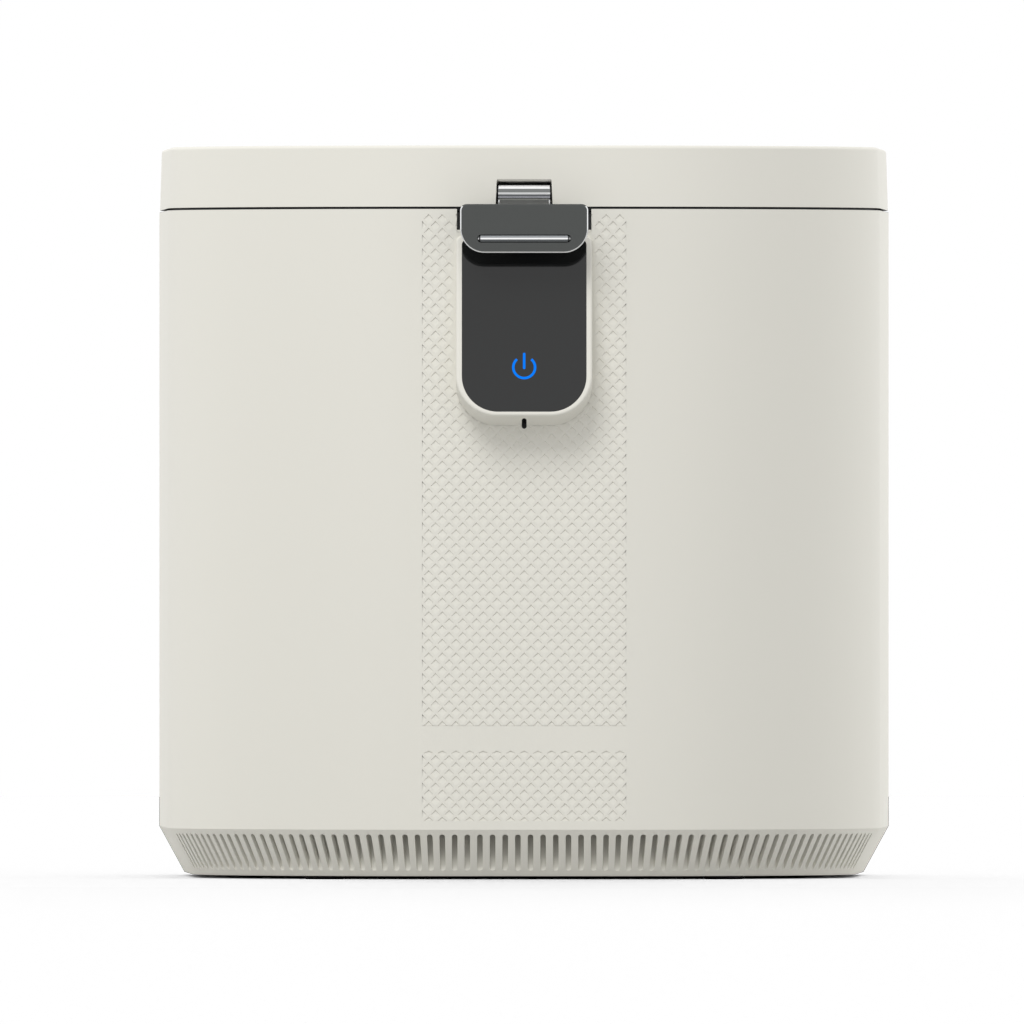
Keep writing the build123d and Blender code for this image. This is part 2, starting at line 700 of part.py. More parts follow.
# =============================================================================================================
# Outer housing
# =============================================================================================================
drawer_middle_z = (drawer_z[0] + drawer_z[1]) / 2
exhaust_centre = (blower_x + blower_radius - blower_outlet[0] / 2, (blower_z[0] + blower_z[1]) / 2)
board_posts_x = board_size[0] / 2 - board_post_inset
board_posts_z = board_size[2] / 2 - board_post_inset
panel_tilt = degrees(atan2(boss_lip_proud - boss_top_proud, boss_top_z - boss_lip_z))
board_window = (control_board_size[0] + board_window_margin, control_board_size[1] + board_window_margin)
board_middle_z = boss_top_z - board_window_drop - board_window[1] / 2

with BuildPart() as outer_housing:
    add(plan_ring(skirt_top_z, housing_top_z, 0, wall))
    ledge_top_z = deck_floor_z
    add(plan_ring(ledge_top_z - ledge_thickness, ledge_top_z, wall / 2, wall + ledge_width))
    for field_low, field_high in (lower_field_z, upper_field_z):
        with BuildSketch(Plane.XY.offset(field_low)):
            with Locations((0, front_y)):
                Rectangle(field_width, 2 * wall)
            add(plan_face(field_depth), mode=Mode.SUBTRACT)
        extrude(amount=field_high - field_low, mode=Mode.SUBTRACT)
    for place, outward in column_points:
        column_foot = Vector(place.X, place.Y, base_floor_z + column_floor_gap)
        column_plane = Plane(origin=column_foot, x_dir=outward, z_dir=(0, 0, 1))
        with BuildSketch(column_plane):
            Circle(column_radius)
        extrude(amount=column_height)
        rib_plane = column_plane.offset(skirt_top_z + tongue_height + column_rib_gap - base_floor_z)
        with BuildSketch(rib_plane):
            Rectangle(column_inset - wall / 2, column_rib, align=(Align.MIN, Align.CENTER))
        extrude(amount=column_height - (skirt_top_z + tongue_height - base_floor_z))
    with BuildSketch(Plane.XY.offset(base_floor_z)):
        with Locations(*column_places):
            Circle(screw_shank_radius + fit_gap)
    extrude(amount=column_hole_depth, mode=Mode.SUBTRACT)
    with BuildSketch(rear_plane):
        with Locations((-board_centre[0], board_centre[1])):
            with GridLocations(2 * board_posts_x, 2 * board_posts_z, 2, 2):
                Circle(board_post_radius)
    extrude(amount=-(wall + board_standoff))
    with BuildSketch(front_plane):
        with Locations((0, rim_notch_bottom_z)):
            Rectangle(2 * rim_notch_half_width, rim_notch_depth + overrun,
                      align=(Align.CENTER, Align.MIN))
    extrude(amount=-wall, mode=Mode.SUBTRACT)
    with BuildSketch(front_plane):
        with Locations((0, board_middle_z)):
            RectangleRounded(board_window[0], board_window[1], board_window_radius)
    extrude(amount=-wall, mode=Mode.SUBTRACT)
    with BuildSketch(front_plane):
        with Locations((0, (drain_slot_z[0] + drain_slot_z[1]) / 2)):
            SlotOverall(drain_slot_z[1] - drain_slot_z[0], drain_slot_width, rotation=90)
    extrude(amount=-drain_slot_depth, mode=Mode.SUBTRACT)
    with BuildSketch(rear_plane):
        with Locations((0, drawer_middle_z)):
            RectangleRounded(2 * drawer_half_width, drawer_height, drawer_corner_radius)
        with Locations((-exhaust_centre[0], exhaust_centre[1])):
            RectangleRounded(exhaust_size[0], exhaust_size[1], exhaust_corner_radius)
        with Locations((-inlet_centre[0], inlet_centre[1])):
            Rectangle(inlet_size[0], inlet_size[1])
        with Locations(*[(-x, leaf_screw_z[0]) for x in hinge_screws_x]):
            Circle(screw_shank_radius + fit_gap)
    extrude(amount=-wall, mode=Mode.SUBTRACT)
finish(outer_housing.part, "outer_housing")

# =============================================================================================================
# Control boss with its touch panel
# =============================================================================================================
tilt_plane = Plane(origin=(0, front_y - boss_top_proud, boss_top_z), x_dir=(1, 0, 0),
                   z_dir=(0, -cos(radians(panel_tilt)), sin(radians(panel_tilt))))
tilt_scale = 1 / cos(radians(panel_tilt))


def boss_face(half_width, top, bottom, corner, top_corner):
    """Tongue outline in a plane whose vertical is measured from the boss's top edge."""
    with BuildSketch(mode=Mode.PRIVATE) as tongue:
        with BuildLine():
            FilletPolyline((half_width, top), (half_width, bottom), (-half_width, bottom), (-half_width, top),
                           radius=[top_corner, corner, corner, top_corner], close=True)
        make_face()
    return tongue.sketch


boss_drop = boss_top_z - boss_bottom_z
rear_overrun = 0.1            # the hollow opens through the boss's flat back
lip_drop = (boss_top_z - boss_lip_z) * tilt_scale
glass_top = -(boss_top_z - glass_top_z) * tilt_scale
glass_bottom = -(boss_top_z - glass_bottom_z) * tilt_scale
boss_base_plane = Plane(origin=(0, front_y, boss_top_z), x_dir=(1, 0, 0), z_dir=(0, -1, 0))

with BuildPart() as control_bezel:
    with BuildSketch(boss_base_plane):
        add(boss_face(boss_half_width, 0, -boss_drop, boss_corner_radius, boss_top_corner_radius))
    with BuildSketch(tilt_plane):
        add(boss_face(boss_half_width, 0, -lip_drop, boss_corner_radius, boss_top_corner_radius))
    loft(ruled=True)
    lip_edges = [edge for edge in control_bezel.edges()
                 if abs(tilt_plane.to_local_coords(edge.center()).Z) < 0.01]
    fillet(lip_edges, boss_lip_radius)
    with BuildSketch(boss_base_plane.offset(-rear_overrun)):
        add(boss_face(boss_half_width - boss_wall, -boss_wall, boss_wall - boss_drop,
                      boss_corner_radius - boss_wall, boss_top_corner_radius))
    with BuildSketch(tilt_plane.offset(-glass_thickness - glass_bed)):
        add(boss_face(boss_half_width - boss_wall, -boss_wall - boss_hollow_drop, boss_wall - lip_drop,
                      boss_corner_radius - boss_wall, boss_top_corner_radius))
    loft(ruled=True, mode=Mode.SUBTRACT)
    with BuildSketch(tilt_plane):
        add(boss_face(glass_half_width + seat_gap, glass_top + seat_gap, glass_bottom - seat_gap,
                      glass_corner_radius, boss_top_corner_radius))
    extrude(amount=-glass_thickness, mode=Mode.SUBTRACT)
    with BuildSketch(tilt_plane):
        add(boss_face(glass_half_width - glass_ledge, glass_top - boss_opening_drop, glass_bottom + glass_ledge,
                      glass_corner_radius - glass_ledge, boss_top_corner_radius))
    extrude(amount=-boss_lip_proud / 2, mode=Mode.SUBTRACT)
    with BuildSketch(front_plane):
        with Locations((0, (drain_slot_z[0] + drain_slot_z[1]) / 2)):
            SlotOverall(drain_slot_z[1] - drain_slot_z[0], drain_slot_width, rotation=90)
    extrude(amount=boss_lip_proud, mode=Mode.SUBTRACT)
finish(control_bezel.part, "control_bezel")

with BuildPart() as touch_panel:
    with BuildSketch(tilt_plane):
        add(boss_face(glass_half_width, glass_top, glass_bottom, glass_corner_radius, boss_top_corner_radius))
    extrude(amount=-glass_thickness)
finish(touch_panel.part, "touch_panel")

icon_drop = (boss_top_z - icon_z) * tilt_scale
with BuildPart() as led_light_guide:
    with BuildSketch(tilt_plane.offset(-glass_thickness)):
        with Locations((0, -icon_drop)):
            Circle(light_guide_radius)
    extrude(amount=-light_guide_length)
finish(led_light_guide.part, "led_light_guide")

board_drop = (boss_top_z - board_middle_z) * tilt_scale
with BuildPart() as control_board:
    with BuildSketch(tilt_plane.offset(-glass_thickness - light_guide_length)):
        with Locations((0, -board_drop)):
            Rectangle(control_board_size[0], control_board_size[1])
    extrude(amount=-control_board_size[2])
finish(control_board.part, "control_board")

# =============================================================================================================
# Top deck and keeper
# =============================================================================================================
deck_inset = wall + deck_gap
deck_top_z = deck_floor_z + deck_floor_thickness
sleeve_back_y = rear_inner_y - sleeve_back_gap
with BuildPart() as top_deck:
    add(plan_block(deck_floor_z, deck_inset, deck_rim_z, deck_inset))
    add(plan_block(deck_top_z, deck_inset + deck_wall, deck_rim_z + overrun, deck_inset + deck_wall),
        mode=Mode.SUBTRACT)
    with BuildSketch(Plane.XY.offset(deck_floor_z)):
        with Locations((0, bucket_y)):
            Circle(well_radius + deck_hole_gap)
    extrude(amount=deck_floor_thickness, mode=Mode.SUBTRACT)
    with BuildSketch(Plane.XY.offset(deck_floor_z)):
        with Locations((0, (sleeve_front_y + sleeve_back_y) / 2)):
            with GridLocations(air_slot_pitch, 0, air_slots, 1):
                SlotOverall(air_slot_length, air_slot_width, rotation=90)
    extrude(amount=deck_floor_thickness, mode=Mode.SUBTRACT)
finish(top_deck.part, "top_deck")

deck_front_y = front_y + deck_inset
keeper_z = (rim_notch_bottom_z + keeper_rise, rim_notch_bottom_z + keeper_rise + keeper_size[2])
with BuildPart() as latch_keeper:
    with BuildSketch(Plane.XY.offset(keeper_z[0])):
        with Locations((0, deck_front_y)):
            Rectangle(keeper_size[0], keeper_size[1], align=(Align.CENTER, Align.MAX))
    extrude(amount=keeper_size[2])
    with BuildSketch(Plane.XY.offset(keeper_z[1])):
        with Locations((0, deck_front_y - keeper_size[1])):
            Rectangle(keeper_size[0], keeper_lip[0], align=(Align.CENTER, Align.MAX))
    extrude(amount=-keeper_lip[1])
finish(latch_keeper.part, "latch_keeper")

# =============================================================================================================
# Heated well
# =============================================================================================================
well_top_z = deck_top_z + well_wall
heater_z = well_floor_z + well_wall
heater_top_z = heater_z + heater_thickness
with BuildPart() as well_liner:
    with BuildSketch(at(0, bucket_y, well_floor_z)):
        Circle(well_radius)
    extrude(amount=well_top_z - well_floor_z)
    with BuildSketch(at(0, bucket_y, deck_top_z)):
        Circle(well_flange_radius)
    extrude(amount=well_wall)
    with BuildSketch(at(0, bucket_y, heater_z)):
        Circle(well_radius - well_wall)
    extrude(amount=well_top_z - heater_z, mode=Mode.SUBTRACT)
    with BuildSketch(at(0, bucket_y, well_floor_z)):
        Circle(shaft_seal_radius)
        with Locations(*element_terminals):
            Circle(element_terminal_radius + terminal_gap)
    extrude(amount=well_wall, mode=Mode.SUBTRACT)
finish(well_liner.part, "well_liner")

with BuildPart() as well_insulation:
    with BuildSketch(at(0, bucket_y, insulation_z[0])):
        Circle(well_radius + insulation_thickness)
        Circle(well_radius + seat_gap, mode=Mode.SUBTRACT)
    extrude(amount=insulation_z[1] - insulation_z[0])
finish(well_insulation.part, "well_insulation")

with BuildPart() as heater_plate:
    with BuildSketch(at(0, bucket_y, heater_z)):
        Circle(heater_radius)
        Circle(heater_bore, mode=Mode.SUBTRACT)
    extrude(amount=heater_thickness)
    chamfer(heater_plate.edges().group_by(Axis.Z)[-1], machined_chamfer)
    with BuildSketch(at(0, bucket_y, heater_z)):
        Circle(element_radius + element_width / 2 + seat_gap)
        Circle(element_radius - element_width / 2 - seat_gap, mode=Mode.SUBTRACT)
    extrude(amount=element_height + seat_gap, mode=Mode.SUBTRACT)
finish(heater_plate.part, "heater_plate")

with BuildPart() as heating_element:
    with BuildSketch(at(0, bucket_y, heater_z)):
        Circle(element_radius + element_width / 2)
        Circle(element_radius - element_width / 2, mode=Mode.SUBTRACT)
    extrude(amount=element_height)
    with BuildSketch(at(0, bucket_y, heater_z)):
        with Locations(*element_terminals):
            Circle(element_terminal_radius)
    extrude(amount=-element_terminal_length)
finish(heating_element.part, "heating_element")

with BuildPart() as thermostat:
    with BuildSketch(at(-element_radius, bucket_y, well_floor_z)):
        Circle(thermostat_body[0])
    extrude(amount=-thermostat_body[1])
    with BuildSketch(at(-element_radius, bucket_y, well_floor_z - thermostat_body[1])):
        Circle(thermostat_cap[0])
    extrude(amount=-thermostat_cap[1])
finish(thermostat.part, "thermostat")

with BuildPart() as shaft_seal:
    with BuildSketch(at(0, bucket_y, well_floor_z - shaft_seal_proud)):
        Circle(shaft_seal_radius - seat_gap)
        Circle(output_shaft_radius + fit_gap, mode=Mode.SUBTRACT)
    extrude(amount=well_wall + 2 * shaft_seal_proud)
finish(shaft_seal.part, "shaft_seal")

# =============================================================================================================
# Gearbox, motor and drive
# =============================================================================================================


def gearbox_face(growth):
    """Hull round the three gears and, for the outside, the screw ears."""
    with BuildSketch(mode=Mode.PRIVATE) as hull:
        with Locations(output_centre):
            Circle(output_teeth * output_module / 2 + gear_tip_room + growth)
        with Locations(idler_centre):
            Circle(idler_large_teeth * first_module / 2 + gear_tip_room + growth)
        with Locations(pinion_centre):
            Circle(pinion_teeth * first_module / 2 + gear_tip_room + growth)
        if growth > 0:
            with Locations(*ear_places):
                Circle(ear_radius)
        make_hull()
    return hull.sketch


with BuildPart() as gearbox_base:
    with BuildSketch(Plane.XY.offset(gearbox_z)):
        add(gearbox_face(gearbox_wall))
    extrude(amount=gearbox_height)
    with BuildSketch(Plane.XY.offset(gearbox_z + gearbox_plate)):
        add(gearbox_face(0))
    extrude(amount=gearbox_height, mode=Mode.SUBTRACT)
    with BuildSketch(Plane.XY.offset(gearbox_z)):
        with Locations(output_centre):
            Circle(output_shaft_radius + fit_gap)
        with Locations(pinion_centre):
            Circle(motor_shaft_radius + shaft_hole_gap)
        with Locations(*ear_places):
            Circle(screw_shank_radius + fit_gap)
    extrude(amount=gearbox_height, mode=Mode.SUBTRACT)
    with BuildSketch(Plane.XY.offset(gearbox_z + gearbox_plate)):
        with Locations(idler_centre):
            Circle(idler_axle_radius + seat_gap)
    extrude(amount=-gearbox_plate / 2, mode=Mode.SUBTRACT)
finish(gearbox_base.part, "gearbox_base")

with BuildPart() as gearbox_cover:
    with BuildSketch(Plane.XY.offset(gearbox_top_z)):
        add(gearbox_face(gearbox_wall))
    extrude(amount=gearbox_plate)
    with BuildSketch(at(output_centre.X, output_centre.Y, gearbox_top_z)):
        Circle(bearing_radius + bearing_collar)
    extrude(amount=bearing_height + bearing_roof)
    with BuildSketch(at(output_centre.X, output_centre.Y, gearbox_top_z)):
        Circle(output_shaft_radius + bearing_roof)
    extrude(amount=bearing_height + bearing_roof, mode=Mode.SUBTRACT)
    with BuildSketch(at(output_centre.X, output_centre.Y, gearbox_top_z + bearing_roof)):
        Circle(bearing_radius + seat_gap)
    extrude(amount=bearing_height, mode=Mode.SUBTRACT)
    with BuildSketch(Plane.XY.offset(gearbox_top_z)):
        with Locations(*ear_places):
            Circle(screw_shank_radius + fit_gap)
    extrude(amount=gearbox_plate, mode=Mode.SUBTRACT)
    with BuildSketch(Plane.XY.offset(gearbox_top_z)):
        with Locations(idler_centre):
            Circle(idler_axle_radius + seat_gap)
    extrude(amount=gearbox_plate / 2, mode=Mode.SUBTRACT)
finish(gearbox_cover.part, "gearbox_cover")

with BuildPart() as gearbox_screws:
    with BuildSketch(Plane.XY.offset(gearbox_top_z + gearbox_plate)):
        with Locations(*ear_places):
            Circle(screw_head_radius)
    extrude(amount=gearbox_screw_head)
    with BuildSketch(Plane.XY.offset(gearbox_top_z + gearbox_plate)):
        with Locations(*ear_places):
            Circle(screw_shank_radius)
    extrude(amount=-(gearbox_height + gearbox_plate + gearbox_screw_bite))
finish(gearbox_screws.part, "gearbox_screws")

with BuildPart() as output_bearing:
    with BuildSketch(at(output_centre.X, output_centre.Y, gearbox_top_z + bearing_roof)):
        Circle(bearing_radius)
        Circle(output_shaft_radius + fit_gap, mode=Mode.SUBTRACT)
    extrude(amount=bearing_height)
finish(output_bearing.part, "output_bearing")

with BuildPart() as idler_axle:
    with BuildSketch(at(idler_centre.X, idler_centre.Y, gearbox_z + gearbox_plate / 2)):
        Circle(idler_axle_radius)
    extrude(amount=gearbox_height)
finish(idler_axle.part, "idler_axle")

with BuildPart() as output_gear:
    with BuildSketch(at(output_centre.X, output_centre.Y, slow_stage_z[0])):
        add(gear_face(output_teeth, output_module, idler_direction))
        Circle(output_shaft_radius + seat_gap, mode=Mode.SUBTRACT)
    extrude(amount=slow_stage_z[1] - slow_stage_z[0])
    with BuildSketch(at(output_centre.X, output_centre.Y, slow_stage_z[0])):
        Circle(output_teeth * output_module / 2 - gear_web_rim)
        Circle(gear_web_hub, mode=Mode.SUBTRACT)
    extrude(amount=gear_web_recess, mode=Mode.SUBTRACT)
    with BuildSketch(at(output_centre.X, output_centre.Y, slow_stage_z[1])):
        Circle(output_teeth * output_module / 2 - gear_web_rim)
        Circle(gear_web_hub, mode=Mode.SUBTRACT)
    extrude(amount=-gear_web_recess, mode=Mode.SUBTRACT)
finish(output_gear.part, "output_gear")

idler_mesh = idler_direction + 180 + 180 / idler_small_teeth
with BuildPart() as idler_gear:
    with BuildSketch(at(idler_centre.X, idler_centre.Y, slow_stage_z[0] - gear_collar)):
        add(gear_face(idler_small_teeth, output_module, idler_mesh))
    extrude(amount=fast_stage_z[0] - slow_stage_z[0] + gear_collar)
    with BuildSketch(at(idler_centre.X, idler_centre.Y, fast_stage_z[0])):
        add(gear_face(idler_large_teeth, first_module, pinion_direction))
    extrude(amount=fast_stage_z[1] - fast_stage_z[0])
    with BuildSketch(at(idler_centre.X, idler_centre.Y, slow_stage_z[0] - gear_collar)):
        Circle(idler_axle_radius + fit_gap)
    extrude(amount=gearbox_height, mode=Mode.SUBTRACT)
finish(idler_gear.part, "idler_gear")

pinion_mesh = pinion_direction + 180 + 180 / pinion_teeth
with BuildPart() as motor_pinion:
    with BuildSketch(at(pinion_centre.X, pinion_centre.Y, fast_stage_z[0] - gear_collar)):
        add(gear_face(pinion_teeth, first_module, pinion_mesh))
    extrude(amount=fast_stage_z[1] - fast_stage_z[0] + 2 * gear_collar)
    with BuildSketch(at(pinion_centre.X, pinion_centre.Y, gearbox_z - motor_shaft_reach)):
        Circle(motor_shaft_radius)
    extrude(amount=fast_stage_z[1] + pinion_shaft_over - gearbox_z + motor_shaft_reach)
finish(motor_pinion.part, "motor_pinion")

motor_plane = Plane(origin=(pinion_centre.X, pinion_centre.Y, 0), x_dir=(1, 0, 0), z_dir=(0, -1, 0))
with BuildPart() as drive_motor:
    with BuildSketch(motor_plane):
        with BuildLine():
            neck_radius = motor_radius - motor_step
            Polyline((0, motor_bottom_z), (motor_radius - motor_foot, motor_bottom_z),
                     (neck_radius, motor_bottom_z + motor_foot - motor_step),
                     (neck_radius, motor_bottom_z + motor_crown), (motor_radius, motor_bottom_z + motor_crown),
                     (motor_radius, gearbox_z - motor_flange), (neck_radius, gearbox_z - motor_flange),
                     (neck_radius, gearbox_z), (0, gearbox_z), close=True)
        make_face()
    revolve(axis=Axis((pinion_centre.X, pinion_centre.Y, 0), (0, 0, 1)))
    with BuildSketch(at(pinion_centre.X, pinion_centre.Y, gearbox_z)):
        Circle(motor_shaft_radius + fit_gap)
    extrude(amount=-motor_shaft_reach - rest_gap, mode=Mode.SUBTRACT)
finish(drive_motor.part, "drive_motor")

dog_z = well_floor_z + well_wall + dog_rise
dog_top_z = heater_top_z + dog_over_heater
with BuildPart() as output_shaft:
    with BuildSketch(at(output_centre.X, output_centre.Y, gearbox_z + shaft_end_gap)):
        Circle(output_shaft_radius)
    extrude(amount=dog_top_z - dog_shaft_hold - gearbox_z - shaft_end_gap)
finish(output_shaft.part, "output_shaft")

with BuildPart() as drive_dog:
    with BuildSketch(at(output_centre.X, output_centre.Y, dog_z)):
        Circle(dog_hub_radius)
    extrude(amount=dog_top_z - dog_z)
    with BuildSketch(at(output_centre.X, output_centre.Y, dog_top_z)):
        Rectangle(dog_tongue[0], dog_tongue[1])
    extrude(amount=dog_tongue[2])
    chamfer(drive_dog.edges().group_by(Axis.Z)[-1], machined_chamfer)
    with BuildSketch(at(output_centre.X, output_centre.Y, dog_z)):
        Circle(output_shaft_radius + seat_gap)
    extrude(amount=dog_top_z - dog_shaft_hold - dog_z + seat_gap, mode=Mode.SUBTRACT)
finish(drive_dog.part, "drive_dog")

# =============================================================================================================
# Bucket
# =============================================================================================================
bucket_z = heater_top_z + rest_gap
flange_z = well_top_z + rest_gap
bucket_top_z = flange_z + flange_thickness
bucket_floor_z = bucket_z + bucket_floor
dome_z = bucket_z + dome_height
handle_pivot_z = bucket_top_z + handle_bar / 2 + handle_over_flange
lug_y = (handle_width + lug_thickness - 2 * handle_side_gap) / 2
breaker_turns = (30.0, 150.0, 270.0)
with BuildPart() as bucket:
    with BuildSketch(at(0, bucket_y, bucket_z)):
        Circle(bucket_radius)
    extrude(amount=bucket_top_z - bucket_z)
    fillet(bucket.edges().group_by(Axis.Z)[0], bucket_corner_radius)
    with BuildSketch(at(0, bucket_y, flange_z)):
        Circle(flange_radius)
        RectangleRounded(2 * lobe_reach, 2 * lobe_half_width, lobe_corner_radius)
    extrude(amount=flange_thickness)
    with BuildSketch(at(0, bucket_y, bucket_floor_z)):
        Circle(bucket_radius - bucket_wall)
    extrude(amount=bucket_top_z - bucket_floor_z, mode=Mode.SUBTRACT)
    with BuildSketch(at(0, bucket_y, bucket_z)):
        Circle(dome_radius + bucket_floor)
    extrude(amount=dome_height + bucket_floor)
    with BuildSketch(at(0, bucket_y, bucket_z)):
        Circle(dome_radius)
    extrude(amount=dome_height, mode=Mode.SUBTRACT)
    with BuildSketch(at(0, bucket_y, dome_z)):
        Circle(bush_radius + seat_gap)
    extrude(amount=bucket_floor, mode=Mode.SUBTRACT)
    with BuildSketch(at(0, bucket_y, bucket_floor_z)):
        with PolarLocations(bucket_radius - bucket_wall, len(breaker_turns), start_angle=breaker_turns[0]):
            Rectangle(breaker_size[0] * 2, breaker_size[1])
        Circle(bucket_radius - bucket_wall - breaker_size[0], mode=Mode.SUBTRACT)
        Circle(bucket_radius - bucket_wall / 2, mode=Mode.INTERSECT)
    extrude(amount=breaker_size[2])
finish(bucket.part, "bucket")

lug_plane = Plane(origin=(0, bucket_y, handle_pivot_z), x_dir=(1, 0, 0), z_dir=(0, -1, 0))
with BuildPart() as handle_lugs:
    with BuildSketch(at(0, bucket_y, bucket_top_z)):
        with Locations(*[(sx * handle_pivot_x, sy * lug_y) for sx in (-1, 1) for sy in (-1, 1)]):
            Rectangle(lug_length, lug_thickness)
    extrude(amount=lug_height)
    fillet(handle_lugs.edges().filter_by(Axis.Y).group_by(Axis.Z)[-1], lug_radius)
    with BuildSketch(lug_plane):
        with Locations((-handle_pivot_x, 0), (handle_pivot_x, 0)):
            Circle(handle_pin_radius + fit_gap)
    extrude(amount=lobe_half_width, both=True, mode=Mode.SUBTRACT)
finish(handle_lugs.part, "handle_lugs")

with BuildPart() as bucket_bush:
    with BuildSketch(at(0, bucket_y, dome_z)):
        Circle(bush_radius)
        Circle(agitator_shaft_radius + fit_gap, mode=Mode.SUBTRACT)
    extrude(amount=bucket_floor + bush_proud)
finish(bucket_bush.part, "bucket_bush")

handle_across = handle_width - 2 * handle_side_gap
for handle_side, handle_name in ((-1, "bucket_handle_left"), (1, "bucket_handle_right")):
    pivot = Vector(handle_side * handle_pivot_x, bucket_y, handle_pivot_z)
    handle_plane = Plane(origin=pivot, x_dir=(handle_side, 0, 0), z_dir=(0, 0, 1))
    with BuildPart() as handle:
        with BuildSketch(handle_plane):
            RectangleRounded(2 * handle_reach, handle_across, handle_corner_radius)
            RectangleRounded(2 * (handle_reach - handle_bar), handle_across - 2 * handle_bar,
                             handle_corner_radius / 2, mode=Mode.SUBTRACT)
            Rectangle(2 * handle_reach, handle_width, align=(Align.MAX, Align.CENTER), mode=Mode.SUBTRACT)
        extrude(amount=handle_bar / 2, both=True)
        with BuildSketch(Plane(origin=pivot, x_dir=(1, 0, 0), z_dir=(0, 1, 0))):
            Circle(handle_bar / 2)
        extrude(amount=handle_across / 2, both=True)
        with BuildSketch(Plane(origin=pivot, x_dir=(1, 0, 0), z_dir=(0, 1, 0))):
            Circle(handle_bar / 2)
        extrude(amount=handle_across / 2 - handle_bar, both=True, mode=Mode.SUBTRACT)
        pin_start = handle_width / 2 - handle_pin_root
        with BuildSketch(*[Plane(origin=pivot + Vector(0, end * pin_start, 0), z_dir=(0, end, 0))
                           for end in (-1, 1)]):
            Circle(handle_pin_radius)
        extrude(amount=handle_pin_root + lug_thickness + handle_pin_over)
    finish(handle.part, handle_name)

coupling_z = bucket_z + coupling_rise
coupling_top_z = dome_z - rest_gap
slot_roof_z = dog_top_z + dog_tongue[2] + slot_roof_gap
with BuildPart() as agitator_coupling:
    with BuildSketch(at(0, bucket_y, coupling_z)):
        Circle(coupling_radius)
    extrude(amount=coupling_top_z - coupling_z)
    with BuildSketch(at(0, bucket_y, coupling_z)):
        Rectangle(2 * coupling_radius + overrun, dog_tongue[1] + 2 * tongue_play)
    extrude(amount=slot_roof_z - coupling_z, mode=Mode.SUBTRACT)
    with BuildSketch(at(0, bucket_y, slot_roof_z)):
        Circle(agitator_shaft_radius + seat_gap)
    extrude(amount=coupling_top_z - slot_roof_z, mode=Mode.SUBTRACT)
finish(agitator_coupling.part, "agitator_coupling")

hub_z = dome_z + bucket_floor + bush_proud + rest_gap
arm_clear_z = bucket_floor_z + arm_clearance
arm_root_radius = agitator_hub_radius - arm_root
raised_middle_radius = dome_radius + bucket_floor
with BuildPart() as agitator:
    with BuildSketch(Plane(origin=(0, bucket_y, 0), x_dir=(1, 0, 0), z_dir=(0, -1, 0))):
        with BuildLine():
            Polyline((0, slot_roof_z + shaft_root_gap), (agitator_shaft_radius, slot_roof_z + shaft_root_gap),
                     (agitator_shaft_radius, hub_z), (agitator_hub_radius, hub_z),
                     *[(agitator_hub_radius - inside, agitator_top_z - below) for below, inside in hub_crown],
                     (0, agitator_top_z), close=True)
        make_face()
    revolve(axis=Axis((0, bucket_y, 0), (0, 0, 1)))
    arm_planes = []
    for arm in range(agitator_arms):
        turn = radians(360.0 * arm / agitator_arms + arm_turn)
        arm_planes.append(Plane(origin=(0, bucket_y, 0), x_dir=(cos(turn), sin(turn), 0),
                                z_dir=(sin(turn), -cos(turn), 0)))
    with BuildSketch(*arm_planes):
        with BuildLine():
            Polyline((arm_root_radius, hub_z), (raised_middle_radius + arm_step[0], hub_z),
                     (raised_middle_radius + arm_step[1], arm_clear_z), (agitator_reach, arm_clear_z),
                     (agitator_reach, agitator_top_z - blade_drop[0]),
                     (agitator_reach - blade_tip_width, agitator_top_z - blade_drop[1]),
                     (agitator_reach - blade_root_width, arm_clear_z + blade_root_height),
                     (arm_crook[0], arm_clear_z + arm_crook[1]),
                     (arm_root_radius, hub_z + arm_hub_height), close=True)
        make_face()
    extrude(amount=agitator_arm_thickness / 2, both=True)
finish(agitator.part, "agitator")

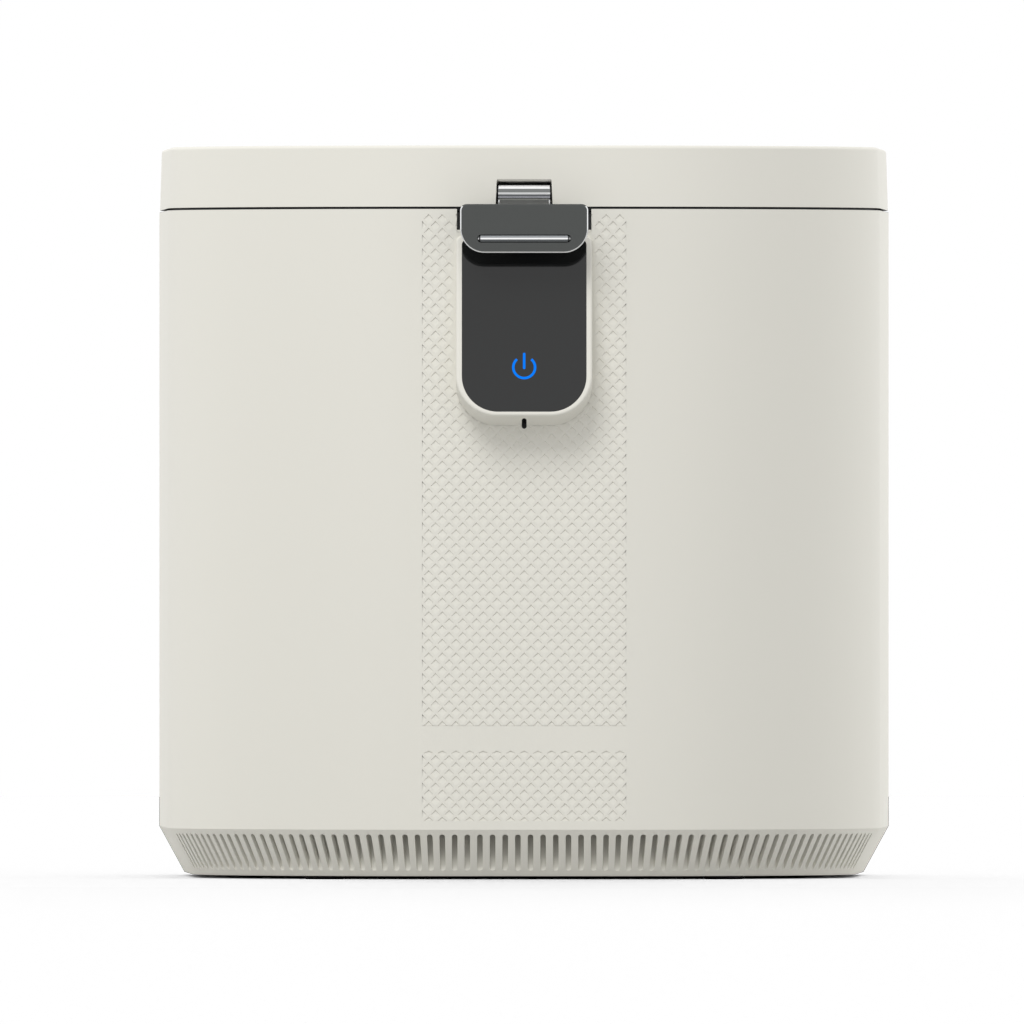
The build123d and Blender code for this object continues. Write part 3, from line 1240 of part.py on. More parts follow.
# =============================================================================================================
# Lid
# =============================================================================================================
lid_ceiling_z = total_height - lid_wall
notch_back_y = front_y + lid_notch_depth
liner_inset = lid_bottom_inset + lid_wall + liner_gap
liner_top_z = liner_z + liner_thickness
lid_boss_x = body_width / 2 - lid_boss_inset
lid_side_boss_x = body_width / 2 - lid_side_boss_inset
lid_boss_places = [(x, y) for x in (-lid_boss_x, lid_boss_x)
                   for y in (front_y + lid_boss_front, rear_y - lid_boss_rear)]
lid_boss_places += [(x, bucket_y + lid_side_boss_behind) for x in (-lid_side_boss_x, lid_side_boss_x)]
bar_y = front_y + bar_set_back
side_plane = Plane(origin=(0, 0, 0), x_dir=(0, 1, 0), z_dir=(1, 0, 0))
pocket_half_width = lid_notch_bottom_width / 2 + pocket_wall
with BuildPart() as lid_shell:
    add(plan_block(lid_bottom_z, lid_bottom_inset, total_height, lid_top_inset))
    fillet(lid_shell.edges().group_by(Axis.Z)[-1], lid_edge_radius)
    add(plan_block(lid_bottom_z - overrun, lid_bottom_inset + lid_wall, lid_ceiling_z, lid_top_inset + lid_wall),
        mode=Mode.SUBTRACT)
    with BuildSketch(Plane.XY.offset(lid_bottom_z)):
        with Locations((0, front_y + lid_bottom_inset + pocket_setback)):
            Rectangle(2 * pocket_half_width, lid_notch_depth + pocket_wall - pocket_setback,
                      align=(Align.CENTER, Align.MIN))
    extrude(amount=lid_ceiling_z - lid_bottom_z + blend)
    with BuildSketch(front_plane.offset(overrun)):
        with BuildLine():
            Polyline((-lid_notch_bottom_width / 2, lid_bottom_z), (lid_notch_bottom_width / 2, lid_bottom_z),
                     (lid_notch_top_width / 2, lid_notch_ceiling_z), (-lid_notch_top_width / 2, lid_notch_ceiling_z),
                     close=True)
        make_face()
    extrude(amount=-lid_notch_depth - overrun, mode=Mode.SUBTRACT)
    with BuildSketch(side_plane):
        with BuildLine():
            Polyline((front_y - overrun, lid_notch_ceiling_z - overrun),
                     (front_y + notch_bevel_run[0], lid_notch_ceiling_z),
                     (front_y - overrun, lid_notch_ceiling_z + lid_notch_bevel + notch_bevel_run[1]), close=True)
        make_face()
    extrude(amount=lid_notch_top_width / 2, both=True, mode=Mode.SUBTRACT)
    with BuildSketch(Plane.XY.offset(liner_top_z)):
        with Locations(*lid_boss_places):
            Circle(lid_boss_radius)
    extrude(amount=lid_ceiling_z - liner_top_z + blend)
    with BuildSketch(Plane.XY.offset(liner_top_z)):
        with Locations(*lid_boss_places):
            Circle(screw_shank_radius + fit_gap)
    extrude(amount=lid_boss_hole_depth, mode=Mode.SUBTRACT)
    with BuildSketch(side_plane):
        with Locations((bar_y, bar_z)):
            Circle(bar_radius + seat_gap)
    extrude(amount=pocket_half_width, both=True, mode=Mode.SUBTRACT)
    with BuildSketch(rear_plane):
        with Locations(*[(-x, leaf_screw_z[1]) for x in hinge_screws_x]):
            Circle(screw_shank_radius + fit_gap)
    extrude(amount=-lid_top_inset - lid_wall, mode=Mode.SUBTRACT)
finish(lid_shell.part, "lid_shell")

with BuildPart() as lid_liner:
    with BuildSketch(Plane.XY.offset(liner_z)):
        add(plan_face(liner_inset))
        with Locations((0, front_y)):
            Rectangle(2 * (pocket_half_width + liner_gap), 2 * (lid_notch_depth + pocket_wall + liner_gap),
                      mode=Mode.SUBTRACT)
        with Locations(*lid_boss_places):
            Circle(screw_shank_radius + fit_gap, mode=Mode.SUBTRACT)
    extrude(amount=liner_thickness)
finish(lid_liner.part, "lid_liner")

with BuildPart() as lid_screws:
    with BuildSketch(Plane.XY.offset(liner_z)):
        with Locations(*lid_boss_places):
            Circle(screw_head_radius)
    extrude(amount=-screw_head_height)
    with BuildSketch(Plane.XY.offset(liner_z)):
        with Locations(*lid_boss_places):
            Circle(screw_shank_radius)
    extrude(amount=liner_thickness + lid_screw_bite)
    add_hinge_screws(1, lid_wall)
finish(lid_screws.part, "lid_screws")

seal_z = deck_rim_z + rest_gap
with BuildPart() as lid_seal:
    add(plan_ring(seal_z, liner_z, seal_inset, seal_inset + seal_width))
    with BuildSketch(Plane.XY.offset(seal_z - overrun)):
        with Locations((0, front_y)):
            Rectangle(2 * (pocket_half_width + liner_gap), 2 * (lid_notch_depth + pocket_wall + liner_gap))
    extrude(amount=liner_z - seal_z + 2 * overrun, mode=Mode.SUBTRACT)
finish(lid_seal.part, "lid_seal")

magnet_centre = (pocket_half_width + magnet_place[0], notch_back_y + magnet_place[1])
with BuildPart() as lid_magnet:
    with BuildSketch(at(*magnet_centre, liner_top_z)):
        Rectangle(magnet_size[0], magnet_size[1])
    extrude(amount=magnet_size[2])
finish(lid_magnet.part, "lid_magnet")

with BuildPart() as reed_switch:
    with BuildSketch(at(*magnet_centre, deck_floor_z)):
        Rectangle(magnet_size[0], magnet_size[1])
    extrude(amount=-magnet_size[2])
finish(reed_switch.part, "reed_switch")

with BuildPart() as latch_pivot_bar:
    with BuildSketch(side_plane):
        with Locations((bar_y, bar_z)):
            Circle(bar_radius)
    extrude(amount=pocket_half_width - bar_end_gap, both=True)
finish(latch_pivot_bar.part, "latch_pivot_bar")

# =============================================================================================================
# Latch
# =============================================================================================================
paddle_front_y = front_y - latch_proud
paddle_back_y = paddle_front_y + paddle_thickness
paddle_plane = Plane(origin=(0, paddle_front_y, 0), x_dir=(1, 0, 0), z_dir=(0, -1, 0))
knuckle_bore = bar_radius + fit_gap
with BuildPart() as latch_paddle:
    with BuildSketch(paddle_plane):
        with BuildLine():
            half = paddle_width / 2
            FilletPolyline((half, paddle_top_z), (half, paddle_bottom_z), (-half, paddle_bottom_z),
                           (-half, paddle_top_z), close=True,
                           radius=[paddle_top_corner_radius, paddle_corner_radius, paddle_corner_radius,
                                   paddle_top_corner_radius])
        make_face()
    extrude(amount=-paddle_thickness)
    chamfer(latch_paddle.edges().group_by(Axis.Y)[0], paddle_rim)
    with BuildSketch(side_plane):
        with Locations((bar_y, bar_z)):
            Circle(knuckle_radius)
        with BuildLine():
            neck_front_y = paddle_front_y + neck_setback
            Polyline((neck_front_y, paddle_top_z), (bar_y - overrun, bar_z - knuckle_radius + neck_thickness),
                     (bar_y, bar_z - knuckle_radius), (paddle_back_y, paddle_top_z - neck_drop),
                     (neck_front_y, paddle_top_z - neck_drop), close=True)
        make_face()
        with Locations((bar_y, bar_z)):
            Circle(knuckle_bore, mode=Mode.SUBTRACT)
            Rectangle(knuckle_opening, knuckle_opening, rotation=-knuckle_opening_turn,
                      align=(Align.MAX, Align.MIN), mode=Mode.SUBTRACT)
    extrude(amount=paddle_neck_width / 2, both=True)
    with BuildSketch(side_plane):
        with BuildLine():
            nose_y = deck_front_y - keeper_size[1] - keeper_lip[0] - hook_gap
            Polyline((paddle_back_y - overrun, hook_z[0]), (nose_y, hook_z[0]), (nose_y, hook_z[1]),
                     (nose_y - hook_nose, hook_z[1]), (nose_y - hook_nose - hook_nose_slope, hook_z[0] + hook_arm),
                     (paddle_back_y - overrun, hook_z[0] + hook_arm), close=True)
        make_face()
    extrude(amount=hook_width / 2, both=True)
    with BuildSketch(paddle_plane):
        with Locations((0, groove_z)):
            SlotOverall(groove_length, groove_width)
    extrude(amount=-groove_depth, mode=Mode.SUBTRACT)
finish(latch_paddle.part, "latch_paddle")

with BuildPart() as latch_inlay:
    with BuildSketch(paddle_plane.offset(-groove_depth)):
        with Locations((0, groove_z)):
            SlotOverall(groove_length - 2 * seat_gap, groove_width - 2 * seat_gap)
    extrude(amount=groove_depth - inlay_sink)
    fillet(latch_inlay.edges().group_by(Axis.Y)[0], groove_depth - inlay_sink - inlay_foot)
finish(latch_inlay.part, "latch_inlay")

# =============================================================================================================
# Rear hinge
# =============================================================================================================
hinge_plane = Plane(origin=(0, hinge_axis_y, hinge_axis_z), x_dir=(0, 1, 0), z_dir=(1, 0, 0))
knuckle_end = hinge_length / 2
knuckle_middle = hinge_middle / 2


def knuckle_face(foot_z):
    """Side view of a leaf's knuckle and the web that joins it to the leaf, from the hinge's axis."""
    face_y = rear_y - hinge_axis_y
    with BuildSketch(mode=Mode.PRIVATE) as knuckle:
        Circle(hinge_radius)
        with BuildLine():
            Polyline((0, hinge_radius if foot_z > 0 else -hinge_radius), (face_y, foot_z),
                     (face_y, leaf_web_start if foot_z > 0 else -leaf_web_start), (0, 0), close=True)
        make_face()
        Circle(hinge_pin_radius + fit_gap, mode=Mode.SUBTRACT)
    return knuckle.sketch


with BuildPart() as hinge_body_leaves:
    with BuildSketch(rear_plane):
        with Locations(*[(x, (body_leaf_z[0] + body_leaf_z[1]) / 2) for x in (-hinge_x, hinge_x)]):
            Rectangle(hinge_length, body_leaf_z[1] - body_leaf_z[0])
        with Locations(*[(-x, leaf_screw_z[0]) for x in hinge_screws_x]):
            Circle(screw_shank_radius + fit_gap, mode=Mode.SUBTRACT)
    extrude(amount=leaf_thickness)
    for hinge_side in (-1, 1):
        for start in (-knuckle_end, knuckle_middle + rest_gap):
            with BuildSketch(hinge_plane.offset(hinge_side * hinge_x + start)):
                add(knuckle_face(-leaf_web))
            extrude(amount=knuckle_end - knuckle_middle - rest_gap)
finish(hinge_body_leaves.part, "hinge_body_leaves")

with BuildPart() as hinge_lid_leaves:
    with BuildSketch(rear_plane.offset(-lid_top_inset)):
        with Locations(*[(x, (lid_leaf_z[0] + lid_leaf_z[1]) / 2) for x in (-hinge_x, hinge_x)]):
            Rectangle(hinge_length, lid_leaf_z[1] - lid_leaf_z[0])
    extrude(amount=leaf_thickness + lid_top_inset)
    for hinge_side in (-1, 1):
        with BuildSketch(hinge_plane.offset(hinge_side * hinge_x - knuckle_middle)):
            add(knuckle_face(leaf_web))
        extrude(amount=hinge_middle)
    with BuildSketch(rear_plane.offset(-lid_top_inset)):
        with Locations(*[(-x, leaf_screw_z[1]) for x in hinge_screws_x]):
            Circle(screw_shank_radius + fit_gap)
    extrude(amount=leaf_thickness + lid_top_inset, mode=Mode.SUBTRACT)
    add(plan_block(lid_bottom_z - leaf_cut_over[0], lid_bottom_inset - leaf_cut_flare[0],
                   total_height + leaf_cut_over[1], lid_top_inset + leaf_cut_flare[1]), mode=Mode.SUBTRACT)
finish(hinge_lid_leaves.part, "hinge_lid_leaves")

with BuildPart() as hinge_pins:
    for hinge_side in (-1, 1):
        with BuildSketch(hinge_plane.offset(hinge_side * hinge_x - knuckle_end - hinge_pin_end)):
            Circle(hinge_pin_radius)
        extrude(amount=hinge_length + 2 * hinge_pin_end)
finish(hinge_pins.part, "hinge_pins")

# =============================================================================================================
# Filter drawer, blower and exhaust
# =============================================================================================================
with BuildPart() as filter_sleeve:
    with BuildSketch(Plane.XZ.offset(-sleeve_front_y)):
        with Locations((0, drawer_middle_z)):
            Rectangle(2 * (drawer_half_width + sleeve_wall), drawer_height + 2 * sleeve_wall)
    extrude(amount=-(sleeve_back_y - sleeve_front_y))
    with BuildSketch(Plane.XZ.offset(-sleeve_front_y - sleeve_wall)):
        with Locations((0, drawer_middle_z)):
            Rectangle(2 * drawer_half_width, drawer_height)
    extrude(amount=-(sleeve_back_y - sleeve_front_y), mode=Mode.SUBTRACT)
    with BuildSketch(at(0, (sleeve_front_y + sleeve_back_y) / 2, drawer_z[1])):
        Rectangle(air_slots * air_slot_pitch, air_slot_length)
    extrude(amount=sleeve_wall, mode=Mode.SUBTRACT)
    with BuildSketch(at(blower_x, blower_y, drawer_z[0])):
        Circle(blower_eye_radius)
    extrude(amount=-sleeve_wall, mode=Mode.SUBTRACT)
finish(filter_sleeve.part, "filter_sleeve")

drawer_width = 2 * (drawer_half_width - drawer_gap)
drawer_tall = drawer_height - 2 * drawer_gap
drawer_inner_y = rear_y - pull_size[2] - drawer_wall
with BuildPart() as filter_drawer:
    with BuildSketch(rear_plane):
        with Locations((0, drawer_middle_z)):
            RectangleRounded(drawer_width, drawer_tall, drawer_corner_radius - drawer_gap)
    extrude(amount=-(rear_y - drawer_front_y))
    fillet(filter_drawer.edges().group_by(Axis.Y)[-1], drawer_edge_radius)
    with BuildSketch(Plane.XZ.offset(-drawer_front_y - drawer_wall)):
        with Locations((0, drawer_middle_z)):
            Rectangle(drawer_width - 2 * drawer_wall, drawer_tall - 2 * drawer_wall)
    extrude(amount=-(drawer_inner_y - drawer_front_y - drawer_wall), mode=Mode.SUBTRACT)
    with BuildSketch(rear_plane):
        with Locations((0, drawer_middle_z)):
            RectangleRounded(pull_size[0], pull_size[1], pull_corner_radius)
    extrude(amount=-pull_size[2], mode=Mode.SUBTRACT)
    with BuildSketch(Plane.XY.offset(drawer_z[0])):
        with Locations((0, (drawer_front_y + drawer_inner_y) / 2)):
            with GridLocations(drawer_slot_pitch, 0, drawer_slots, 1):
                SlotOverall(*drawer_slot_size, rotation=90)
    extrude(amount=drawer_height, mode=Mode.SUBTRACT)
finish(filter_drawer.part, "filter_drawer")

with BuildPart() as carbon_filter:
    with BuildSketch(Plane.XZ.offset(-drawer_front_y - drawer_wall - carbon_gap)):
        with Locations((0, drawer_middle_z)):
            Rectangle(drawer_width - 2 * (drawer_wall + carbon_gap), drawer_tall - 2 * (drawer_wall + carbon_gap))
    extrude(amount=-(drawer_inner_y - drawer_front_y - drawer_wall - 2 * carbon_gap))
    fillet(carbon_filter.edges().filter_by(Axis.Y), carbon_corner_radius)
finish(carbon_filter.part, "carbon_filter")

outlet_x = exhaust_centre[0]
with BuildPart() as blower_housing:
    with BuildSketch(at(blower_x, blower_y, blower_z[0])):
        Circle(blower_radius)
        with Locations((outlet_x - blower_x, 0)):
            Rectangle(blower_outlet[0], sleeve_back_y - blower_y, align=(Align.CENTER, Align.MIN))
    extrude(amount=blower_z[1] - blower_z[0])
    with BuildSketch(at(blower_x, blower_y, blower_z[0] + blower_wall)):
        Circle(blower_radius - blower_wall)
        with Locations((outlet_x - blower_x, 0)):
            Rectangle(blower_outlet[0] - 2 * blower_wall, rear_inner_y - blower_y,
                      align=(Align.CENTER, Align.MIN))
    extrude(amount=blower_z[1] - blower_z[0] - 2 * blower_wall, mode=Mode.SUBTRACT)
    with BuildSketch(at(blower_x, blower_y, blower_z[1])):
        Circle(blower_eye_radius)
    extrude(amount=-blower_wall, mode=Mode.SUBTRACT)
    with BuildSketch(at(blower_x, blower_y, blower_z[0])):
        Circle(blower_shaft_radius + shaft_hole_gap)
    extrude(amount=blower_wall, mode=Mode.SUBTRACT)
finish(blower_housing.part, "blower_housing")

with BuildPart() as blower_motor:
    with BuildSketch(at(blower_x, blower_y, blower_z[0])):
        Circle(blower_motor_radius)
    extrude(amount=-blower_motor_height)
    with BuildSketch(at(blower_x, blower_y, blower_z[0])):
        Circle(blower_shaft_radius + fit_gap)
    extrude(amount=-blower_motor_height / 2, mode=Mode.SUBTRACT)
finish(blower_motor.part, "blower_motor")

impeller_z = (blower_z[0] + blower_wall + impeller_gap, blower_z[1] - blower_wall - impeller_gap)
with BuildPart() as blower_impeller:
    with BuildSketch(at(blower_x, blower_y, impeller_z[0])):
        Circle(impeller_radius)
    extrude(amount=impeller_plate)
    with BuildSketch(at(blower_x, blower_y, impeller_z[0])):
        Circle(impeller_hub[0])
    extrude(amount=impeller_hub[1])
    with BuildSketch(at(blower_x, blower_y, impeller_z[0])):
        with PolarLocations(impeller_radius - impeller_blade_set, impeller_blades):
            Rectangle(*impeller_blade, rotation=impeller_blade_turn)
        Circle(impeller_radius, mode=Mode.INTERSECT)
    extrude(amount=impeller_z[1] - impeller_z[0])
    with BuildSketch(at(blower_x, blower_y, impeller_z[0])):
        Circle(blower_shaft_radius)
    extrude(amount=-blower_motor_height / 2)
finish(blower_impeller.part, "blower_impeller")

with BuildPart() as exhaust_grille:
    with BuildSketch(rear_plane):
        with Locations((-exhaust_centre[0], exhaust_centre[1])):
            RectangleRounded(exhaust_size[0] - 2 * insert_gap, exhaust_size[1] - 2 * insert_gap,
                             exhaust_corner_radius - insert_gap)
            with GridLocations(0, exhaust_slot_pitch, 1, exhaust_slats):
                Rectangle(exhaust_size[0] - 2 * exhaust_frame, exhaust_slot_height, mode=Mode.SUBTRACT)
    extrude(amount=-wall)
finish(exhaust_grille.part, "exhaust_grille")

# =============================================================================================================
# Cooling fan, power board and inlet
# =============================================================================================================
with BuildPart() as cooling_fan_frame:
    with BuildSketch(at(*fan_centre, fan_z[0])):
        RectangleRounded(fan_size, fan_size, fan_corner_radius)
        Circle(fan_bore_radius, mode=Mode.SUBTRACT)
    extrude(amount=fan_z[1] - fan_z[0])
    with BuildSketch(at(*fan_centre, fan_z[0])):
        Circle(fan_hub_radius)
        Rectangle(fan_size - 2 * fan_spoke_end, fan_spoke[0])
        Rectangle(fan_spoke[0], fan_size - 2 * fan_spoke_end)
    extrude(amount=fan_spoke[1])
    with BuildSketch(at(*fan_centre, fan_z[0])):
        Circle(fan_pin_radius + fit_gap)
    extrude(amount=fan_spoke[1], mode=Mode.SUBTRACT)
finish(cooling_fan_frame.part, "cooling_fan_frame")

with BuildPart() as cooling_fan_rotor:
    with BuildSketch(at(*fan_centre, fan_z[0] + fan_rotor_rise)):
        Circle(fan_hub_radius)
    extrude(amount=fan_z[1] - fan_z[0] - fan_rotor_rise - fan_rotor_gap)
    with BuildSketch(at(*fan_centre, fan_z[0])):
        Circle(fan_pin_radius)
    extrude(amount=fan_pin_height)
    blade_planes = []
    for blade in range(fan_blades):
        turn = radians(360.0 * blade / fan_blades)
        radial = Vector(cos(turn), sin(turn), 0)
        blade_middle = Vector(*fan_centre, (fan_z[0] + fan_z[1]) / 2 + fan_blade_lift)
        blade_planes.append(Plane(origin=blade_middle + radial * fan_blade_root,
                                  x_dir=Vector(-sin(turn), cos(turn), 0), z_dir=radial))
    with BuildSketch(*blade_planes):
        Rectangle(*fan_blade, rotation=fan_blade_turn)
    extrude(amount=fan_bore_radius - fan_blade_root - fan_blade_gap)
finish(cooling_fan_rotor.part, "cooling_fan_rotor")

board_y = rear_inner_y - board_standoff
with BuildPart() as power_board:
    with BuildSketch(at(board_centre[0], board_y, board_centre[1] - board_size[2] / 2)):
        Rectangle(board_size[0], board_size[1], align=(Align.CENTER, Align.MAX))
    extrude(amount=board_size[2])
    board_front_y = board_y - board_size[1]
    component_plane = Plane(origin=(board_centre[0], board_front_y, board_centre[1]), x_dir=(1, 0, 0),
                            z_dir=(0, -1, 0))
    with BuildSketch(component_plane):
        with Locations(transformer[:2]):
            Rectangle(transformer[2], transformer[3])
    extrude(amount=transformer[4])
    with BuildSketch(component_plane):
        with Locations(*capacitor_places):
            Circle(capacitor_radius)
    extrude(amount=capacitor_height)
    with BuildSketch(component_plane):
        with Locations(heat_sink[:2]):
            Rectangle(heat_sink[2], heat_sink[3])
    extrude(amount=heat_sink[4])
finish(power_board.part, "power_board")

with BuildPart() as power_inlet:
    with BuildSketch(rear_plane):
        with Locations((-inlet_centre[0], inlet_centre[1])):
            Rectangle(inlet_size[0] - 2 * insert_gap, inlet_size[1] - 2 * insert_gap)
    extrude(amount=-inlet_size[2])
    with BuildSketch(rear_plane):
        with Locations((-inlet_centre[0], inlet_centre[1])):
            RectangleRounded(inlet_size[0] - 2 * inlet_wall[0], inlet_size[1] - 2 * inlet_wall[1],
                             inlet_corner_radius)
    extrude(amount=-inlet_size[2] + inlet_wall[2], mode=Mode.SUBTRACT)
    with BuildSketch(rear_plane.offset(-inlet_size[2] + inlet_wall[2] - inlet_blade_root)):
        with Locations((-inlet_centre[0], inlet_centre[1] - inlet_blade_drop)):
            with GridLocations(inlet_blade_pitch, 0, 3, 1):
                Rectangle(inlet_blade[0], inlet_blade[1])
    extrude(amount=inlet_blade[2])
finish(power_inlet.part, "power_inlet")
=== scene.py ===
import math

import bpy
from bpy.props import FloatProperty, FloatVectorProperty, IntProperty, PointerProperty
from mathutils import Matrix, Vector


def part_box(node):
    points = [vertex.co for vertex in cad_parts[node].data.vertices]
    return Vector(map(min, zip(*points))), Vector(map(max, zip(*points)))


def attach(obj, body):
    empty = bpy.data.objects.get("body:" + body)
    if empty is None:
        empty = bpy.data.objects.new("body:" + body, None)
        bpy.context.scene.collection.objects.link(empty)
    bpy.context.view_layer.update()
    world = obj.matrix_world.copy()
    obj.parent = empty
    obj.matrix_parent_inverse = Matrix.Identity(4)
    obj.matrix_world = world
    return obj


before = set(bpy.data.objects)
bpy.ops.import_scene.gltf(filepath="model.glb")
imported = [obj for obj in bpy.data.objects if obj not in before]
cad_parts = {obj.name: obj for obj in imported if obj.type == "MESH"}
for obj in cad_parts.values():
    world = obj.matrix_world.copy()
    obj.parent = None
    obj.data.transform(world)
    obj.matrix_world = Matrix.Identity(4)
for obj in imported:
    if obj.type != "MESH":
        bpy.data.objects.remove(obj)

bl_info = {
    "name": "Food Waste Composter Looks",
    "version": (1, 0, 0),
    "blender": (4, 5, 0),
    "location": "3D View > Sidebar > Composter",
    "description": "Finishes, diamond texture, lit touch key and studio for a food waste composter",
    "category": "Object",
}

# ---- values --------------------------------------------------------------------------------------
MM = 0.001

WELD_REACH = 0.001 * MM              # corners of loose triangles that lie nearer become one
FACET_ANGLE = math.radians(0.2)      # joints between triangles that are flatter are dissolved
SMOOTH_ANGLE = math.radians(30)      # edges that are flatter are shaded smooth
CORNER_ANGLE = math.radians(35)      # edges that are sharper are rounded
UPRIGHT = (math.pi / 2, 0.0, 0.0)    # turns what lies flat to face the front

# widths of rounded edges
TURNED_EDGE = 0.15 * MM              # gears, shafts and screws
SMALL_EDGE = 0.2 * MM                # glass, boards and small fittings
LEAF_EDGE = 0.25 * MM                # folded hinge leaves
MOULDED_EDGE = 0.3 * MM              # most mouldings
CASE_EDGE = 0.4 * MM                 # gearbox halves
CAN_EDGE = 0.5 * MM                  # deep drawn motor cans
GRIP_EDGE = 0.6 * MM                 # handles that a hand takes
SOFT_EDGE = 1.0 * MM                 # castings and blankets

# painted reflection bands of polished rounds, from their lowest line to their highest, as shares of the
# height; the black at the top is painted shade
CHROME_PAINTED_REFLECTIONS = (
    (0.0, "#232425"), (0.05, "#3B3C3D"), (0.09, "#BDBEC3"), (0.15, "#B9BABF"), (0.19, "#6E7071"),
    (0.29, "#6E7071"), (0.32, "#FFFFFF"), (0.43, "#FFFFFF"), (0.47, "#7E807F"), (0.7, "#747675"),
    (0.74, "#FFFFFF"), (0.965, "#FFFFFF"), (0.985, "#080808"), (1.0, "#080808"),
)
CHROME_BELOW, CHROME_ABOVE = 0.15 * MM, 0.1 * MM    # how far the bands reach past the pivot bar
# painted reflection bands of the inlay, from its lowest line to its highest: bright crown, darker flanks
INLAY_PAINTED_REFLECTIONS = (
    (0.0, "#2F3031"), (0.06, "#5E6061"), (0.38, "#5A5D5F"), (0.43, "#FFFFFF"), (0.57, "#FFFFFF"),
    (0.62, "#9C9FA2"), (0.92, "#96999C"), (1.0, "#333435"),
)
INLAY_END = 2.2 * MM                                # length of the darkened ends of the inlay
# painted highlight and painted shade at the inlay's rounded ends, from the start of an end to its tip
INLAY_END_PAINTED_LIGHT = (
    (0.0, "#FFFFFF"), (0.3, "#FFFFFF"), (0.45, "#26282A"), (0.62, "#26282A"), (0.75, "#F2F2F2"),
    (1.0, "#D9D9D9"),
)

# the touch key's symbol
RING_PARTS = 72
CAP_PARTS = 8                        # in each round end of its bar
PRINT_LIFT = 0.03 * MM               # symbol in front of the glass
FACING_FRONT = -0.9                  # a face looks forward when its normal's y is less

# the texture's mesh
CELL_WELD = 0.002 * MM
EMPTY_AREA = 0.0001 * MM * MM        # smaller faces are left out

# the studio, in metres
FLOOR_REACH = 6.0
FLOOR_BROWS = ((0.0, 0.0), (0.05, -0.003), (0.3, -0.0065))    # how far before the base, and how high
LAMP_SIZE = 1.2
LAMP_AIM = (0.0, 0.0, 0.16)
LAMP_PLACES = {"key": (-0.65, -1.7, 2.2), "left": (-1.75, 1.2, 0.5), "right": (1.75, 1.2, 0.5)}


def linear(code):
    """Linear colour of an sRGB hex code."""
    values = []
    for start in (1, 3, 5):
        value = int(code[start:start + 2], 16) / 255
        values.append(value / 12.92 if value <= 0.04045 else ((value + 0.055) / 1.055) ** 2.4)
    return (*values, 1.0)


def number(name, description, default, **more):
    """A number property."""
    return FloatProperty(name=name, description=description, default=default, **more)


def count(name, description, default, least):
    """A property that counts something, from a least number."""
    return IntProperty(name=name, description=description, default=default, min=least)


def length(name, description, millimetres, least=0.0):
    """A length property whose default is given in millimetres."""
    return number(name, description, millimetres * MM, min=least, unit="LENGTH", precision=5)


def colour(name, description, code):
    """A colour property whose default is given as an sRGB hex code."""
    return FloatVectorProperty(name=name, description=description, default=linear(code), size=4,
                               min=0.0, max=1.0, subtype="COLOR")


class ShellFinish(bpy.types.PropertyGroup):
    """Moulded plastic of the housing, lid, base and boss."""
    body: colour("Body", "Warm white of the moulded ABS", "#E3E1D8")
    inner: colour("Inner parts", "Glass filled nylon of the deck, sleeve and gearbox", "#2C2D2E")
    edge: length("Edge radius", "Rounding of the base's, boss's and drawer's edges", 0.3)
    lid_edge: length("Lid edge radius", "Rounding of the lid's edges", 0.24)
    grain: length("Grain", "Size of the spark eroded grain", 0.35)
    # the lid's gap is painted black as shade over this half height
    rim_half: length("Rim band", "Half height of the black band where the lid and the housing meet", 0.5)
    # the weep slot's inside is painted black as shade
    slot_half: length("Weep slot", "Half width of the black weep slot under the boss", 1.06)
    slot_length: length("Weep slot reach", "Half length of the weep slot", 2.27)
    slot_rise: length("Weep slot rise", "Middle of the weep slot above the boss's foot", 0.85)


class DiamondTexture(bpy.types.PropertyGroup):
    """Sloping diamond recesses pressed into the front of the housing."""
    half_width: length("Half width", "Middle of the front to the side of the field", 44.5)
    pitch_across: length("Pitch across", "Between two columns of one row", 5.95)
    pitch_up: length("Pitch up", "Between two rows of one column", 5.97)
    recess: length("Recess", "Middle of a recess to its corner", 2.06)
    depth: length("Depth", "Depth at the upper corner of a recess", 0.47)
    floor_share: number("Floor share", "Size of a recess's floor against its mouth", 0.88,
                        min=0.5, max=0.97)
    columns: count("Columns", "Whole recesses across one row", 15, least=3)
    lower_rows: count("Lower rows", "Whole rows of the lower field", 6, least=2)
    lower_row: length("Lower field's first row", "Height of the lower field's lowest row", 25.35)
    lower_from: length("Lower field's foot", "Height of its lower edge", 25.6)
    lower_to: length("Lower field's head", "Height of its upper edge", 56.2)
    upper_rows: count("Upper rows", "Whole rows of the upper field", 38, least=2)
    upper_row: length("Upper field's first row", "Height of the upper field's lowest row", 67.14)
    upper_from: length("Upper field's foot", "Height of its lower edge", 67.0)
    upper_to: length("Upper field's head", "Height of its upper edge", 290.1)
    flat_half_width: length("Flat", "Half width of the flat front", 30.7)
    arc_radius: length("Arc", "Radius of the front beyond the flat", 125.6)
    plain_half_width: length("Plain", "Half width of the plain ground beside the boss", 31.0)
    plain_from: length("Plain foot", "Height at which the plain ground starts", 216.0)
    hidden_half_width: length("Hidden", "Half width of what the boss covers", 19.0)
    hidden_from: length("Hidden foot", "Height at which the boss's cover starts", 206.0)
    notch_half_width: length("Notch", "Half width of the sunk notch in the rim", 29.3)
    notch_from: length("Notch foot", "Height at which the notch starts", 280.2)


class TouchKeyLooks(bpy.types.PropertyGroup):
    """Black glass with the lit power symbol."""
    glass: colour("Glass", "Back printed black glass", "#181919")
    glow: colour("Glow", "Blue light through the symbol", "#0A80FF")
    height: length("Height", "Middle of the symbol above the floor", 223.2)
    ring: length("Ring", "Outer radius of the symbol's ring", 5.3)
    stroke: length("Stroke", "Width of the symbol's lines", 1.1)
    gap: number("Gap", "Half of the ring's opening at the top", math.radians(41), subtype="ANGLE")
    bar_low: length("Bar foot", "Lower end of the symbol's bar", 222.4)
    bar_high: length("Bar head", "Upper end of the symbol's bar", 229.6)


